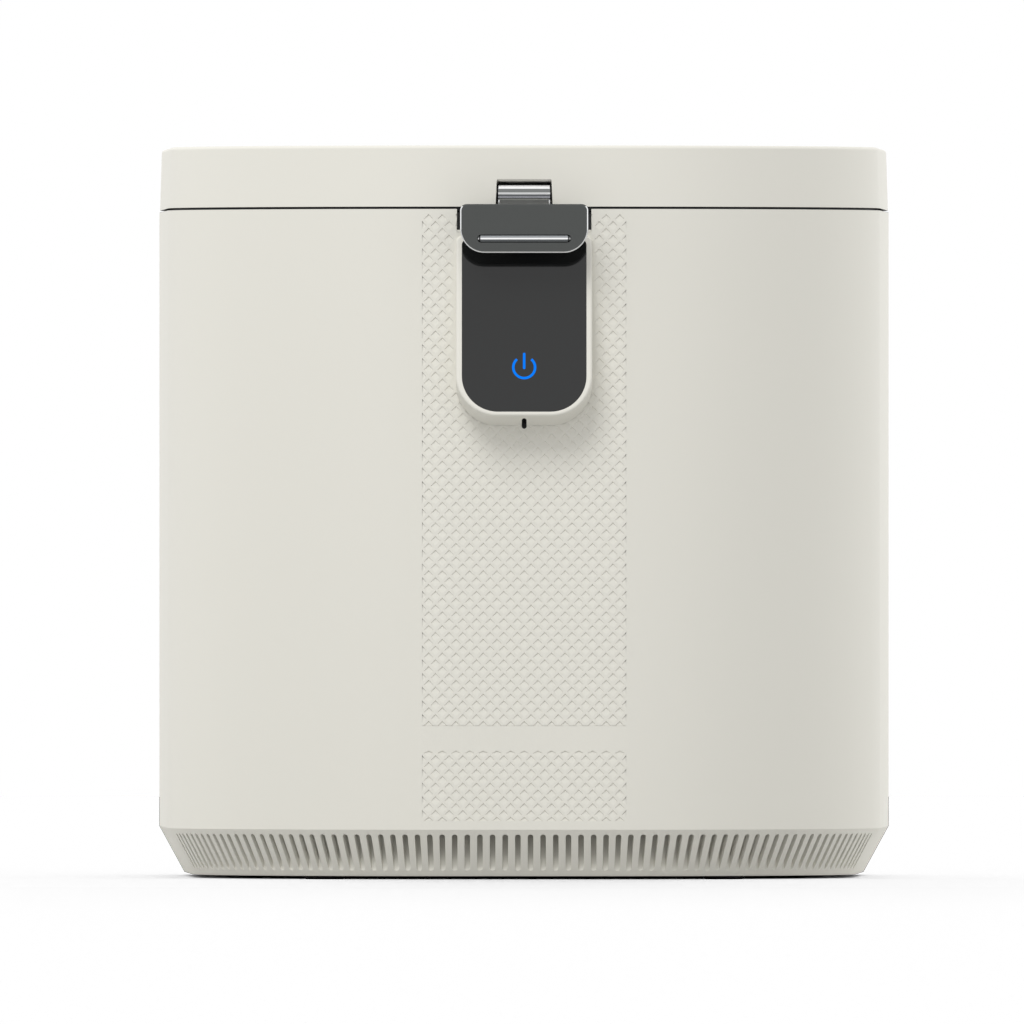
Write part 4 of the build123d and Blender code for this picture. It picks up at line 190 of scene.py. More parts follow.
class LatchLooks(bpy.types.PropertyGroup):
    """Anodised paddle with a polished rim, inlay and pivot bar."""
    paddle: colour("Paddle", "Dark anodised aluminium", "#5C5E5D")
    # the rim is painted near white as its highlight
    rim: length("Rim", "Depth of the polished rim round the paddle's face", 0.55)
    paddle_top: length("Paddle top", "Height of the paddle's top edge", 294.3)
    # the rim's painted highlight is left off along this much of the top edge
    bare_top: length("Bare top", "Unpolished part of the rim at the paddle's top edge", 1.0)
    skin: length("Skin", "How far behind its face the paddle's rim starts", 0.02)
    # the neck is painted with edge highlights outside this half width
    neck_flat: length("Neck flat", "Half width of the neck inside its polished edges", 10.75)
    # a painted highlight line under the eye
    seam: length("Seam", "Pale line under the polished eye", 0.5)
    # the eye and the pin carry painted reflection bands; the pin's ends beyond the eye's half width are
    # painted black as shade
    eye_low: length("Eye", "Height at which the polished eye round the pivot starts", 296.7)
    eye_half: length("Eye half width", "Half width of the polished eye", 11.15)
    sheen: number("Sheen", "How metallic the polished parts look", 0.3, min=0.0, max=1.0)


class ScrewRecess(bpy.types.PropertyGroup):
    """Cross recess in each screw's head."""
    least_face: number("Least face", "A flat face is a screw's head when it is larger", 12 * MM * MM,
                       unit="AREA", precision=6)
    reach: length("Reach", "Length of one arm through the middle", 2.9)
    arm: length("Arm", "Width of one arm", 0.75)
    depth: length("Depth", "Depth of the recess", 0.7)


class StageSetting(bpy.types.PropertyGroup):
    """Camera, lamps and backdrop."""
    lens: number("Lens", "Focal length of the camera in millimetres", 1700.0)
    distance: number("Distance", "Camera to the middle of the object", 21.22, unit="LENGTH")
    aim_x: length("Aim across", "Where the camera looks, across", -5.3, least=-1.0)
    aim_z: length("Aim up", "Where the camera looks, above the floor", 160.2)
    room: number("Room light", "Strength of the light from all round", 0.74)
    key: number("Key lamp", "Power of the lamp at the upper left", 33.0, unit="POWER")
    left: number("Left lamp", "Power of the lamp at the left rear", 13.0, unit="POWER")
    right: number("Right lamp", "Power of the lamp at the right rear", 20.0, unit="POWER")


SETTINGS = {
    "composter_shell": ShellFinish,
    "composter_texture": DiamondTexture,
    "composter_touch_key": TouchKeyLooks,
    "composter_latch": LatchLooks,
    "composter_screws": ScrewRecess,
    "composter_stage": StageSetting,
}


# ---- node trees ----------------------------------------------------------------------------------
def put(node, inputs):
    """Set or link inputs, given by name or number. A node given for one stands for its first output."""
    for name, value in inputs.items():
        if isinstance(value, bpy.types.Node):
            value = value.outputs[0]
        if isinstance(value, bpy.types.NodeSocket):
            node.id_data.links.new(value, node.inputs[name])
        else:
            node.inputs[name].default_value = value


def add_node(tree, kind, inputs=None, **settings):
    """Add a node, set its properties, then set or link its inputs."""
    node = tree.nodes.new(kind)
    for name, value in settings.items():
        setattr(node, name, value)
    put(node, inputs or {})
    return node


def calculate(tree, operation, first, *others):
    """An operation on one value, or on several in turn."""
    for other in others or (0.0,):
        first = add_node(tree, "ShaderNodeMath", {0: first, 1: other}, operation=operation)
    return first


def tone(value):
    """The value itself, or its colour if it is a hex code."""
    return linear(value) if isinstance(value, str) else value


def blend(tree, share, first, second, how="MIX"):
    """Colour between two, by a share from nought to one."""
    return add_node(tree, "ShaderNodeMix", {0: share, 6: tone(first), 7: tone(second)},
                    data_type="RGBA", blend_type=how).outputs[2]


def look(shader, **inputs):
    """Set or link a shader's inputs, given by name with underscores for spaces."""
    put(shader, {name.replace("_", " "): tone(value) for name, value in inputs.items()})


def object_place(tree, stretch=(1.0, 1.0, 1.0)):
    """Object coordinates in metres, stretched along the axes."""
    place = add_node(tree, "ShaderNodeTexCoord").outputs["Object"]
    return add_node(tree, "ShaderNodeMapping", {"Vector": place, "Scale": stretch})


def coordinates(tree, place=None):
    """The x, y and z of a place, which is the object coordinates unless one is given."""
    split = add_node(tree, "ShaderNodeSeparateXYZ", {0: object_place(tree) if place is None else place})
    return [split.outputs[axis] for axis in "XYZ"]


def grain_height(tree, size, detail=2.0, stretch=(1.0, 1.0, 1.0)):
    """Height pattern of a random grain about size metres across."""
    return add_node(tree, "ShaderNodeTexNoise", {"Vector": object_place(tree, stretch),
                                                 "Scale": 1 / size, "Detail": detail})


def carve(shader, height, depth):
    """Bump a shader by a height pattern of a real depth in metres."""
    look(shader, Normal=add_node(shader.id_data, "ShaderNodeBump", {
        "Height": height, "Distance": depth, "Strength": 1.0}))


def spread(tree, pattern, low, high):
    """A pattern between nought and one, spread between two values."""
    return add_node(tree, "ShaderNodeMapRange", {"Value": pattern, "To Min": low, "To Max": high})


# ---- finishes, each from a real material and how it is worked, some with painted light and shade ---
def spark_eroded_abs(tree, shader, shell):
    """Injection moulded ABS out of a spark eroded tool: fine even grain, satin, black in its slots."""
    x, y, z = coordinates(tree)
    # painted shade: the weep slot's inside, and the diamond cells over it, are painted black
    slot_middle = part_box("control_bezel")[0].z + shell.slot_rise
    along = calculate(tree, "ABSOLUTE", calculate(tree, "SUBTRACT", z, slot_middle))
    beyond = calculate(tree, "SUBTRACT", along, shell.slot_length - shell.slot_half)
    beyond = calculate(tree, "MAXIMUM", beyond, 0.0)
    off_line = calculate(tree, "ADD", calculate(tree, "POWER", calculate(tree, "ABSOLUTE", x), 2.0),
                         calculate(tree, "POWER", beyond, 2.0))
    in_slot = calculate(tree, "LESS_THAN", off_line, shell.slot_half ** 2)
    at_front = calculate(tree, "LESS_THAN", y, 0.0)
    # painted shade: the faces in the gap between lid and housing are painted black
    gap_middle = (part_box("lid_shell")[0].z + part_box("outer_housing")[1].z) / 2
    off_gap = calculate(tree, "ABSOLUTE", calculate(tree, "SUBTRACT", z, gap_middle))
    in_gap = calculate(tree, "LESS_THAN", off_gap, shell.rim_half)
    black = calculate(tree, "MAXIMUM", calculate(tree, "MULTIPLY", in_slot, at_front), in_gap)
    look(shader, Base_Color=blend(tree, black, shell.body, "#0B0B0B"), Roughness=0.52,
         Specular_IOR_Level=0.4)
    carve(shader, grain_height(tree, shell.grain), 0.006 * MM)


def glass_filled_nylon(tree, shader, shell):
    """Black nylon with short glass fibres, moulded: mottled where fibres lie at the surface."""
    mottle = grain_height(tree, 1.5 * MM, 4.0, (1.0, 1.0, 0.35))
    look(shader, Base_Color=shell.inner, Roughness=spread(tree, mottle, 0.42, 0.62))
    carve(shader, grain_height(tree, 0.4 * MM), 0.008 * MM)


def moulded_acetal(tree, shader):
    """Natural acetal, moulded: waxy and slightly translucent."""
    look(shader, Base_Color="#E9E4D6", Roughness=0.32, Subsurface_Weight=0.15,
         Subsurface_Scale=1.5 * MM)
    carve(shader, grain_height(tree, 2.0 * MM), 0.01 * MM)


def colour_bands(tree, value, low, high, stops):
    """Colour that runs through hex codes while a value goes from low to high."""
    across = add_node(tree, "ShaderNodeMapRange", {"Value": value, "From Min": low, "From Max": high})
    ramp = add_node(tree, "ShaderNodeValToRGB", {"Fac": across})
    elements = ramp.color_ramp.elements
    while len(elements) < len(stops):
        elements.new(0.5)
    for element, (position, code) in zip(elements, stops):
        element.position = position
        element.color = linear(code)
    return ramp


def polished_round(tree, height):
    """Colours of the chromed round: two white bands between grey ones, over its visible height."""
    low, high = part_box("latch_pivot_bar")
    return colour_bands(tree, height, low.z - CHROME_BELOW, high.z + CHROME_ABOVE, CHROME_PAINTED_REFLECTIONS)


def anodised_paddle(tree, shader, latch):
    """Aluminium, bead blasted and dark anodised, with a diamond cut rim and a polished eye."""
    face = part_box("latch_paddle")[0].y
    x, y, z = coordinates(tree)
    # the diamond cut rim just behind the face is painted near white as its highlight; the highlight is
    # left off at the top edge
    behind_face = calculate(tree, "GREATER_THAN", y, face + latch.skin)
    in_rim = calculate(tree, "LESS_THAN", y, face + latch.rim)
    below_top = calculate(tree, "LESS_THAN", z, latch.paddle_top - latch.bare_top)
    rim = calculate(tree, "MULTIPLY", behind_face, in_rim, below_top)
    # painted highlight on the neck's flat face beside its middle, standing for edges that are not
    # modelled
    beside_neck = calculate(tree, "GREATER_THAN", calculate(tree, "ABSOLUTE", x), latch.neck_flat)
    on_neck = calculate(tree, "GREATER_THAN", z, latch.paddle_top)
    rim = calculate(tree, "MAXIMUM", rim, calculate(tree, "MULTIPLY", beside_neck, on_neck))
    eye = calculate(tree, "GREATER_THAN", z, latch.eye_low)
    # painted highlight line along the neck's top edge, just under the eye
    seam = calculate(tree, "GREATER_THAN", z, latch.eye_low - latch.seam)
    skin = blend(tree, rim, latch.paddle, "#F4F5F5")
    skin = blend(tree, seam, skin, "#9A9B94")
    # the eye gets painted reflection bands, with painted shade above them
    skin = blend(tree, eye, skin, polished_round(tree, z))
    polished = calculate(tree, "MAXIMUM", rim, eye)
    look(shader, Base_Color=skin, Roughness=spread(tree, polished, 0.42, 0.1),
         Metallic=spread(tree, eye, 1.0, latch.sheen))
    carve(shader, grain_height(tree, 0.12 * MM), 0.002 * MM)


def polished_bar(tree, shader, latch):
    """Chromed steel pin, buffed where the paddle's eye turns on it and black at its ends."""
    x, _, z = coordinates(tree)
    # black painted shade on the pin's ends in the gaps beside the eye
    ends = calculate(tree, "GREATER_THAN", calculate(tree, "ABSOLUTE", x), latch.eye_half)
    look(shader, Base_Color=blend(tree, ends, polished_round(tree, z), "#0C0C0C"),
         Roughness=spread(tree, ends, 0.1, 0.7), Metallic=latch.sheen)


def polished_inlay(tree, shader, latch):
    """Half round of polished steel: bright crown, darker flanks."""
    low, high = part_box("latch_inlay")
    x, _, z = coordinates(tree)
    # painted reflection bands across the height, and painted highlight and shade at the ends
    bands = colour_bands(tree, z, low.z, high.z, INLAY_PAINTED_REFLECTIONS)
    ends = colour_bands(tree, calculate(tree, "ABSOLUTE", x), high.x - INLAY_END, high.x,
                        INLAY_END_PAINTED_LIGHT)
    look(shader, Base_Color=blend(tree, 1.0, bands, ends, "MULTIPLY"), Metallic=latch.sheen,
         Roughness=0.12)


def zinc_plated_steel(tree, shader):
    """Mild steel, pressed or turned, then zinc plated: pale with a faint cloud."""
    cloud = grain_height(tree, 3.0 * MM, 3.0)
    look(shader, Base_Color=blend(tree, cloud, "#B9BCC0", "#D6D6D2"), Metallic=1.0,
         Roughness=spread(tree, cloud, 0.22, 0.38))


def powder_coated_steel(tree, shader):
    """Folded steel, powder coated dark grey: fine orange peel."""
    look(shader, Base_Color="#4B4D4D", Roughness=0.45)
    carve(shader, grain_height(tree, 0.9 * MM, 1.0), 0.02 * MM)


def drawn_motor_can(tree, shader):
    """Deep drawn steel can: fine lines round its axis from drawing."""
    lines = grain_height(tree, 0.5 * MM, 2.0, (0.02, 0.02, 1.0))
    look(shader, Base_Color="#A3A6A9", Metallic=1.0, Roughness=spread(tree, lines, 0.25, 0.45))
    carve(shader, lines, 0.002 * MM)


def blasted_casting(tree, shader):
    """Investment cast steel, bead blasted: coarse matt skin."""
    skin = grain_height(tree, 0.8 * MM, 5.0)
    look(shader, Base_Color="#8E9092", Metallic=1.0, Roughness=spread(tree, skin, 0.4, 0.62))
    carve(shader, skin, 0.05 * MM)


def sintered_bronze(tree, shader):
    """Oil filled sintered bronze: pores between pressed grains."""
    pores = add_node(tree, "ShaderNodeTexVoronoi", {"Vector": object_place(tree),
                                                    "Scale": 1 / (0.35 * MM)})
    look(shader, Base_Color=blend(tree, pores, "#A06C35", "#C8935A"), Metallic=1.0, Roughness=0.42)
    carve(shader, pores, 0.02 * MM)


def spun_aluminium(tree, shader):
    """Aluminium sheet, spun and brushed: rings about its axis."""
    rings = grain_height(tree, 0.4 * MM, 3.0, (0.03, 0.03, 1.0))
    look(shader, Base_Color="#CDCFD1", Metallic=1.0, Roughness=spread(tree, rings, 0.28, 0.46))
    carve(shader, rings, 0.003 * MM)


def nonstick_coating(tree, shader):
    """Aluminium bucket under a sprayed non-stick coating: dark with pale speckle."""
    flecks = add_node(tree, "ShaderNodeTexVoronoi", {"Vector": object_place(tree),
                                                     "Scale": 1 / (1.6 * MM), "Randomness": 1.0})
    near = calculate(tree, "LESS_THAN", flecks, 0.2)
    look(shader, Base_Color=blend(tree, near, "#2E3032", "#76787A"), Roughness=0.38,
         Coat_Weight=0.25, Coat_Roughness=0.25)
    carve(shader, grain_height(tree, 0.8 * MM, 2.0), 0.02 * MM)


def black_touch_glass(tree, shader, key):
    """Toughened glass printed black on its back: gloss with a clear skin."""
    smear = grain_height(tree, 40 * MM, 1.0)
    look(shader, Base_Color=key.glass, IOR=1.52, Roughness=spread(tree, smear, 0.05, 0.09))


def lit_print(tree, shader, key):
    """Translucent blue print with a lamp behind it."""
    look(shader, Base_Color="#000000", Emission_Color=key.glow, Emission_Strength=1.0,
         Roughness=0.3, Specular_IOR_Level=0.0)


def diffusing_acrylic(tree, shader):
    """Opal acrylic light guide, moulded."""
    look(shader, Base_Color="#DCE9F6", Roughness=0.35, Subsurface_Weight=0.4, Subsurface_Scale=3 * MM)
    carve(shader, grain_height(tree, 1.2 * MM), 0.01 * MM)


def solder_mask(tree, shader):
    """Glass epoxy board under green solder mask, with copper lands and tracks that show through."""
    # lands of 8 by 4 mm, coarser than real ones so that they show
    tracks = add_node(tree, "ShaderNodeTexBrick", {
        "Vector": object_place(tree), "Scale": 60.0, "Color1": linear("#17502F"),
        "Color2": linear("#1B5D37"), "Mortar": linear("#2E7A4B"), "Mortar Size": 0.04})
    look(shader, Base_Color=tracks, Roughness=0.3, Coat_Weight=0.3)
    carve(shader, tracks.outputs["Fac"], 0.04 * MM)


def ceramic_blanket(tree, shader):
    """Needled ceramic fibre blanket: tangled pale fibres."""
    fibres = grain_height(tree, 1.2 * MM, 6.0, (1.0, 1.0, 0.25))
    look(shader, Base_Color=blend(tree, fibres, "#C9C3B2", "#EFEADC"), Roughness=0.95, Sheen_Weight=0.4)
    carve(shader, fibres, 0.35 * MM)


def activated_carbon(tree, shader):
    """Bed of extruded carbon pellets."""
    pellets = add_node(tree, "ShaderNodeTexVoronoi", {
        "Vector": object_place(tree, (1.0, 1.0, 0.6)), "Scale": 1 / (3.0 * MM)})
    # painted shade: the colour darkens towards the gaps between pellets
    look(shader, Base_Color=blend(tree, pellets, "#2A2A2B", "#0B0B0C"), Roughness=0.75)
    raised = calculate(tree, "SUBTRACT", 1.0, pellets)
    carve(shader, raised, 1.2 * MM)


def pressed_silicone(tree, shader):
    """Compression moulded silicone: matt with a slight drag of dust."""
    look(shader, Base_Color="#5D5F60", Roughness=0.7, Sheen_Weight=0.15)
    carve(shader, grain_height(tree, 0.5 * MM), 0.015 * MM)


def foot_rubber(tree, shader):
    """Nitrile rubber pad, die cut."""
    look(shader, Base_Color="#17181A", Roughness=0.82)
    carve(shader, grain_height(tree, 0.4 * MM, 3.0), 0.02 * MM)


def floor_paper(tree, shader):
    """Matt paper under the object."""
    look(shader, Base_Color="#E6E6E6", Roughness=0.9)


def finish(make, *looks):
    """Material of a finish, named as the function that makes it, made once and then shared."""
    material = bpy.data.materials.get(make.__name__)
    if material is None:
        material = bpy.data.materials.new(make.__name__)
        material.use_nodes = True
        tree = material.node_tree
        make(tree, tree.nodes["Principled BSDF"], *looks)
    return material


# ---- shared modelling ----------------------------------------------------------------------------
def new_tree(name, sockets):
    """A geometry node group with the named inputs; returns it with its entry node."""
    tree = bpy.data.node_groups.new(name, "GeometryNodeTree")
    tree.interface.new_socket("Geometry", in_out="INPUT", socket_type="NodeSocketGeometry")
    for label, kind in sockets.items():
        tree.interface.new_socket(label, in_out="INPUT", socket_type=kind)
    tree.interface.new_socket("Geometry", in_out="OUTPUT", socket_type="NodeSocketGeometry")
    return tree, add_node(tree, "NodeGroupInput").outputs


def add_tree_modifier(obj, tree, values):
    """Put a geometry node group on an object, with its inputs set by their sockets' identifiers."""
    modifier = obj.modifiers.new(tree.name, "NODES")
    modifier.node_group = tree
    for item in tree.interface.items_tree:
        if item.in_out == "INPUT" and item.name in values:
            modifier[item.identifier] = values[item.name]
    return modifier


def socket_values(settings):
    """Values of a group of settings, by the names of a node group's inputs."""
    return {name.replace("_", " ").title(): getattr(settings, name)
            for name in type(settings).__annotations__}


def smooth_tree():
    """Node group that joins loose triangles and shades flat edges smooth and sharp ones crisp."""
    tree = bpy.data.node_groups.get("shade_by_angle")
    if tree:
        return tree
    tree, entry = new_tree("shade_by_angle", {})
    plain = add_node(tree, "GeometryNodeRemoveAttribute", {"Geometry": entry["Geometry"],
                                                           "Name": "custom_normal"})
    joined = add_node(tree, "GeometryNodeMergeByDistance", {"Geometry": plain, "Distance": WELD_REACH})
    smooth = add_node(tree, "GeometryNodeSetShadeSmooth", {"Geometry": joined, "Shade Smooth": True},
                      domain="FACE")
    angle = add_node(tree, "GeometryNodeInputMeshEdgeAngle")
    sharp = calculate(tree, "GREATER_THAN", angle, SMOOTH_ANGLE)
    crisp = add_node(tree, "GeometryNodeSetShadeSmooth", {
        "Geometry": smooth, "Selection": sharp, "Shade Smooth": False}, domain="EDGE")
    add_node(tree, "NodeGroupOutput", {"Geometry": crisp})
    return tree


def dress(nodes, material, edge=MOULDED_EDGE, clamp=True):
    """Give CAD nodes a material, rounded edges and smooth shading."""
    for name in nodes:
        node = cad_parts.get(name)
        if node is None:
            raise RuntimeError(f"the frame has no node {name}")
        node.data.materials.clear()
        node.data.materials.append(material)
        if edge:
            weld = node.modifiers.new("weld", "WELD")
            weld.merge_threshold = WELD_REACH
            facets = node.modifiers.new("facets", "DECIMATE")
            facets.decimate_type = "DISSOLVE"
            facets.angle_limit = FACET_ANGLE
            rounding = node.modifiers.new("rounding", "BEVEL")
            rounding.width = edge
            rounding.segments = 2
            rounding.angle_limit = CORNER_ANGLE
            rounding.use_clamp_overlap = clamp
            rounding.miter_outer = "MITER_ARC"
        add_tree_modifier(node, smooth_tree(), {})
        node.modifiers.new("even_shading", "WEIGHTED_NORMAL").keep_sharp = True


def place_object(name, data):
    """A new object in the scene that shows a mesh, lamp or camera."""
    thing = bpy.data.objects.new(name, data)
    bpy.context.scene.collection.objects.link(thing)
    return thing


def plain_piece(name, source, body):
    """Turn an object with modifiers into a plain mesh piece that rides on a body."""
    depsgraph = bpy.context.evaluated_depsgraph_get()
    mesh = bpy.data.meshes.new_from_object(source.evaluated_get(depsgraph))
    bpy.data.objects.remove(source)
    piece = place_object(name, mesh)
    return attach(piece, body)


# ---- pieces --------------------------------------------------------------------------------------
class ShellMaker(bpy.types.Operator):
    """Finish the moulded housing, base, lid, boss and drawer"""
    bl_idname = "composter.finish_shell"
    bl_label = "Moulded Shell"

    def execute(self, context):
        shell = context.scene.composter_shell
        plastic = finish(spark_eroded_abs, shell)
        dress(["outer_housing"], plastic, 0)
        dress(["lid_shell"], plastic, shell.lid_edge, clamp=False)
        dress(["base_tray", "control_bezel", "filter_drawer"], plastic, shell.edge)
        dress(["foot_front_left", "foot_front_right", "foot_rear_left", "foot_rear_right"],
              finish(foot_rubber))
        return {"FINISHED"}


def diamond_tile(tree, entry):
    """A cell with a flush rim round a recess that slopes to nothing at its foot, and a plain cell."""
    cell = add_node(tree, "GeometryNodeMeshCircle", {"Vertices": 4, "Radius": entry["Pitch Across"]},
                    fill_type="NGON")
    upright_half = calculate(tree, "DIVIDE", calculate(tree, "MULTIPLY", entry["Pitch Up"], 0.5),
                             entry["Pitch Across"])
    halves = add_node(tree, "ShaderNodeCombineXYZ", {"X": 0.5, "Y": upright_half, "Z": 1.0})
    half = add_node(tree, "GeometryNodeTransform", {"Geometry": cell, "Scale": halves})
    mouth = add_node(tree, "GeometryNodeExtrudeMesh", {"Mesh": half, "Offset Scale": 0.0})
    share = calculate(tree, "DIVIDE", entry["Recess"],
                      calculate(tree, "MULTIPLY", entry["Pitch Across"], 0.5))
    mouth_size = add_node(tree, "GeometryNodeScaleElements", {
        "Geometry": mouth, "Selection": mouth.outputs["Top"], "Scale": share})
    bed = add_node(tree, "GeometryNodeExtrudeMesh", {
        "Mesh": mouth_size, "Selection": mouth.outputs["Top"], "Offset Scale": 0.0})
    below = calculate(tree, "MULTIPLY", entry["Recess"], -1.0)
    foot = add_node(tree, "ShaderNodeCombineXYZ", {"Y": below})
    bed_size = add_node(tree, "GeometryNodeScaleElements", {
        "Geometry": bed, "Selection": bed.outputs["Top"], "Scale": entry["Floor Share"],
        "Center": foot})
    _, y, _ = coordinates(tree, add_node(tree, "GeometryNodeInputPosition"))
    above_foot = calculate(tree, "ADD", y, entry["Recess"])
    full = calculate(tree, "MULTIPLY", entry["Recess"], 2.0, entry["Floor Share"])
    sink = calculate(tree, "MULTIPLY", calculate(tree, "DIVIDE", above_foot, full), entry["Depth"], -1.0)
    drop = add_node(tree, "ShaderNodeCombineXYZ", {"Z": sink})
    sunk = add_node(tree, "GeometryNodeSetPosition", {
        "Geometry": bed_size, "Selection": bed.outputs["Top"], "Offset": drop})
    return [add_node(tree, "GeometryNodeTransform", {"Geometry": shape, "Rotation": UPRIGHT})
            for shape in (sunk, half)]


def within(tree, half_width, lowest):
    """Whether a point lies within a half width of the middle and above a height."""
    x, _, z = coordinates(tree, add_node(tree, "GeometryNodeInputPosition"))
    near = calculate(tree, "LESS_THAN", calculate(tree, "ABSOLUTE", x), half_width)
    return calculate(tree, "MULTIPLY", near, calculate(tree, "GREATER_THAN", z, lowest))


def laid_cells(tree, entry):
    """Cells laid upright in staggered rows, plain beside the boss and left out behind it."""
    tile, filler = diamond_tile(tree, entry)
    rows_high = calculate(tree, "MULTIPLY", calculate(tree, "SUBTRACT", entry["Rows"], 1.0),
                          entry["Pitch Up"])
    laid = []
    for stagger in (0.0, 1.0):
        columns = calculate(tree, "ADD", entry["Columns"], stagger)
        rows = calculate(tree, "SUBTRACT", entry["Rows"], stagger)
        wide, high = (calculate(tree, "MULTIPLY", calculate(tree, "SUBTRACT", points, 1.0), pitch)
                      for points, pitch in ((columns, entry["Pitch Across"]), (rows, entry["Pitch Up"])))
        grid = add_node(tree, "GeometryNodeMeshGrid", {"Size X": wide, "Size Y": high,
                                                       "Vertices X": columns, "Vertices Y": rows})
        laid.append((grid, tile))
    across = calculate(tree, "MULTIPLY", entry["Columns"], entry["Pitch Across"], -0.5)
    over = calculate(tree, "MULTIPLY", calculate(tree, "ADD", rows_high, entry["Pitch Up"]), 0.5)
    start = add_node(tree, "ShaderNodeCombineXYZ", {"X": across, "Y": over})
    step = add_node(tree, "ShaderNodeCombineXYZ", {"X": entry["Pitch Across"]})
    row = add_node(tree, "GeometryNodeMeshLine", {"Count": calculate(tree, "ADD", entry["Columns"], 1.0),
                                                  "Start Location": start, "Offset": step})
    laid.append((row, filler))
    rise = add_node(tree, "ShaderNodeCombineXYZ", {"Z": entry["Middle"]})
    cells = []
    for points, shape in laid:
        raised = add_node(tree, "GeometryNodeTransform", {"Geometry": points, "Rotation": UPRIGHT,
                                                          "Translation": rise})
        plain, covered, notched = (within(tree, entry[part + " Half Width"], entry[part + " From"])
                                   for part in ("Plain", "Hidden", "Notch"))
        hidden = calculate(tree, "MAXIMUM", covered, notched)
        textured = calculate(tree, "SUBTRACT", 1.0, calculate(tree, "MAXIMUM", plain, hidden))
        blank = calculate(tree, "SUBTRACT", plain, hidden)
        for chosen, cell in ((textured, shape), (blank, filler)):
            cells.append(add_node(tree, "GeometryNodeInstanceOnPoints", {
                "Points": raised, "Selection": chosen, "Instance": cell}))
    joined = add_node(tree, "GeometryNodeJoinGeometry")
    for cell in reversed(cells):
        tree.links.new(cell.outputs[0], joined.inputs[0])
    return add_node(tree, "GeometryNodeRealizeInstances", {"Geometry": joined})


def bent_place(tree, entry):
    """Where a corner goes so that the field ends at its edges and follows the curved front."""
    x, y, z = coordinates(tree, add_node(tree, "GeometryNodeInputPosition"))
    height = calculate(tree, "MAXIMUM", calculate(tree, "MINIMUM", z, entry["High"]), entry["Low"])
    in_notch = calculate(tree, "GREATER_THAN", z, entry["Notch From"])
    least = calculate(tree, "MULTIPLY", in_notch, entry["Notch Half Width"])
    away = calculate(tree, "MAXIMUM", calculate(tree, "ABSOLUTE", x), least)
    away = calculate(tree, "MINIMUM", away, entry["Half Width"])
    across = calculate(tree, "MULTIPLY", away, calculate(tree, "SIGN", x))
    beyond = calculate(tree, "MAXIMUM", calculate(tree, "SUBTRACT", away, entry["Flat Half Width"]), 0.0)
    squared = calculate(tree, "SUBTRACT",
                        calculate(tree, "MULTIPLY", entry["Arc Radius"], entry["Arc Radius"]),
                        calculate(tree, "MULTIPLY", beyond, beyond))
    back = calculate(tree, "SUBTRACT", entry["Arc Radius"], calculate(tree, "SQRT", squared))
    deep = calculate(tree, "ADD", y, entry["Front"], back)
    return add_node(tree, "ShaderNodeCombineXYZ", {"X": across, "Y": deep, "Z": height})


def diamond_field_tree():
    """Node group that lays diamond cells over a field and bends them round the front of the body."""
    sockets = dict.fromkeys((
        "Half Width", "Pitch Across", "Pitch Up", "Recess", "Depth", "Floor Share", "Middle", "Low",
        "High", "Front", "Flat Half Width", "Arc Radius", "Plain Half Width", "Plain From",
        "Hidden Half Width", "Hidden From", "Notch Half Width", "Notch From"), "NodeSocketFloat")
    sockets.update({"Columns": "NodeSocketInt", "Rows": "NodeSocketInt",
                    "Material": "NodeSocketMaterial"})
    tree, entry = new_tree("diamond_field", sockets)
    bent = add_node(tree, "GeometryNodeSetPosition", {"Geometry": laid_cells(tree, entry),
                                                      "Position": bent_place(tree, entry)})
    area = add_node(tree, "GeometryNodeInputMeshFaceArea")
    empty = calculate(tree, "LESS_THAN", area, EMPTY_AREA)
    solid = add_node(tree, "GeometryNodeDeleteGeometry", {"Geometry": bent,
                                                          "Selection": empty}, domain="FACE")
    welded = add_node(tree, "GeometryNodeMergeByDistance", {"Geometry": solid, "Distance": CELL_WELD})
    finished = add_node(tree, "GeometryNodeSetMaterial", {"Geometry": welded,
                                                          "Material": entry["Material"]})
    add_node(tree, "NodeGroupOutput", {"Geometry": finished})
    return tree


class TextureMaker(bpy.types.Operator):
    """Press the diamond texture into the upper and lower field of the front"""
    bl_idname = "composter.press_texture"
    bl_label = "Diamond Texture"

    def execute(self, context):
        texture = context.scene.composter_texture
        tree = diamond_field_tree()
        shared = socket_values(texture)
        shared["Front"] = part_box("outer_housing")[0].y
        shared["Material"] = finish(spark_eroded_abs, context.scene.composter_shell)
        for field in ("lower", "upper"):
            rows, first, low, high = (getattr(texture, f"{field}_{end}")
                                      for end in ("rows", "row", "from", "to"))
            name = f"front_texture_{field}"
            carrier = place_object(name + "_carrier", bpy.data.meshes.new(name + "_carrier"))
            add_tree_modifier(carrier, tree, {
                **shared, "Rows": rows, "Middle": first + (rows - 1) * texture.pitch_up / 2, "Low": low,
                "High": high})
            plain_piece(name, carrier, "housing")
        return {"FINISHED"}


def flat_piece(name, outlines, origin, right, up, material):
    """A piece of flat convex faces drawn in a plane."""
    corners = []
    faces = []
    for outline in outlines:
        faces.append(list(range(len(corners), len(corners) + len(outline))))
        corners += [origin + right * across + up * along for across, along in outline]
    mesh = bpy.data.meshes.new(name)
    mesh.from_pydata(corners, [], faces)
    mesh.materials.append(material)
    return place_object(name, mesh)


def on_circle(radius, turn, middle=0.0):
    """A point of a circle in a drawn plane, whose middle may be moved up."""
    return radius * math.cos(turn), middle + radius * math.sin(turn)


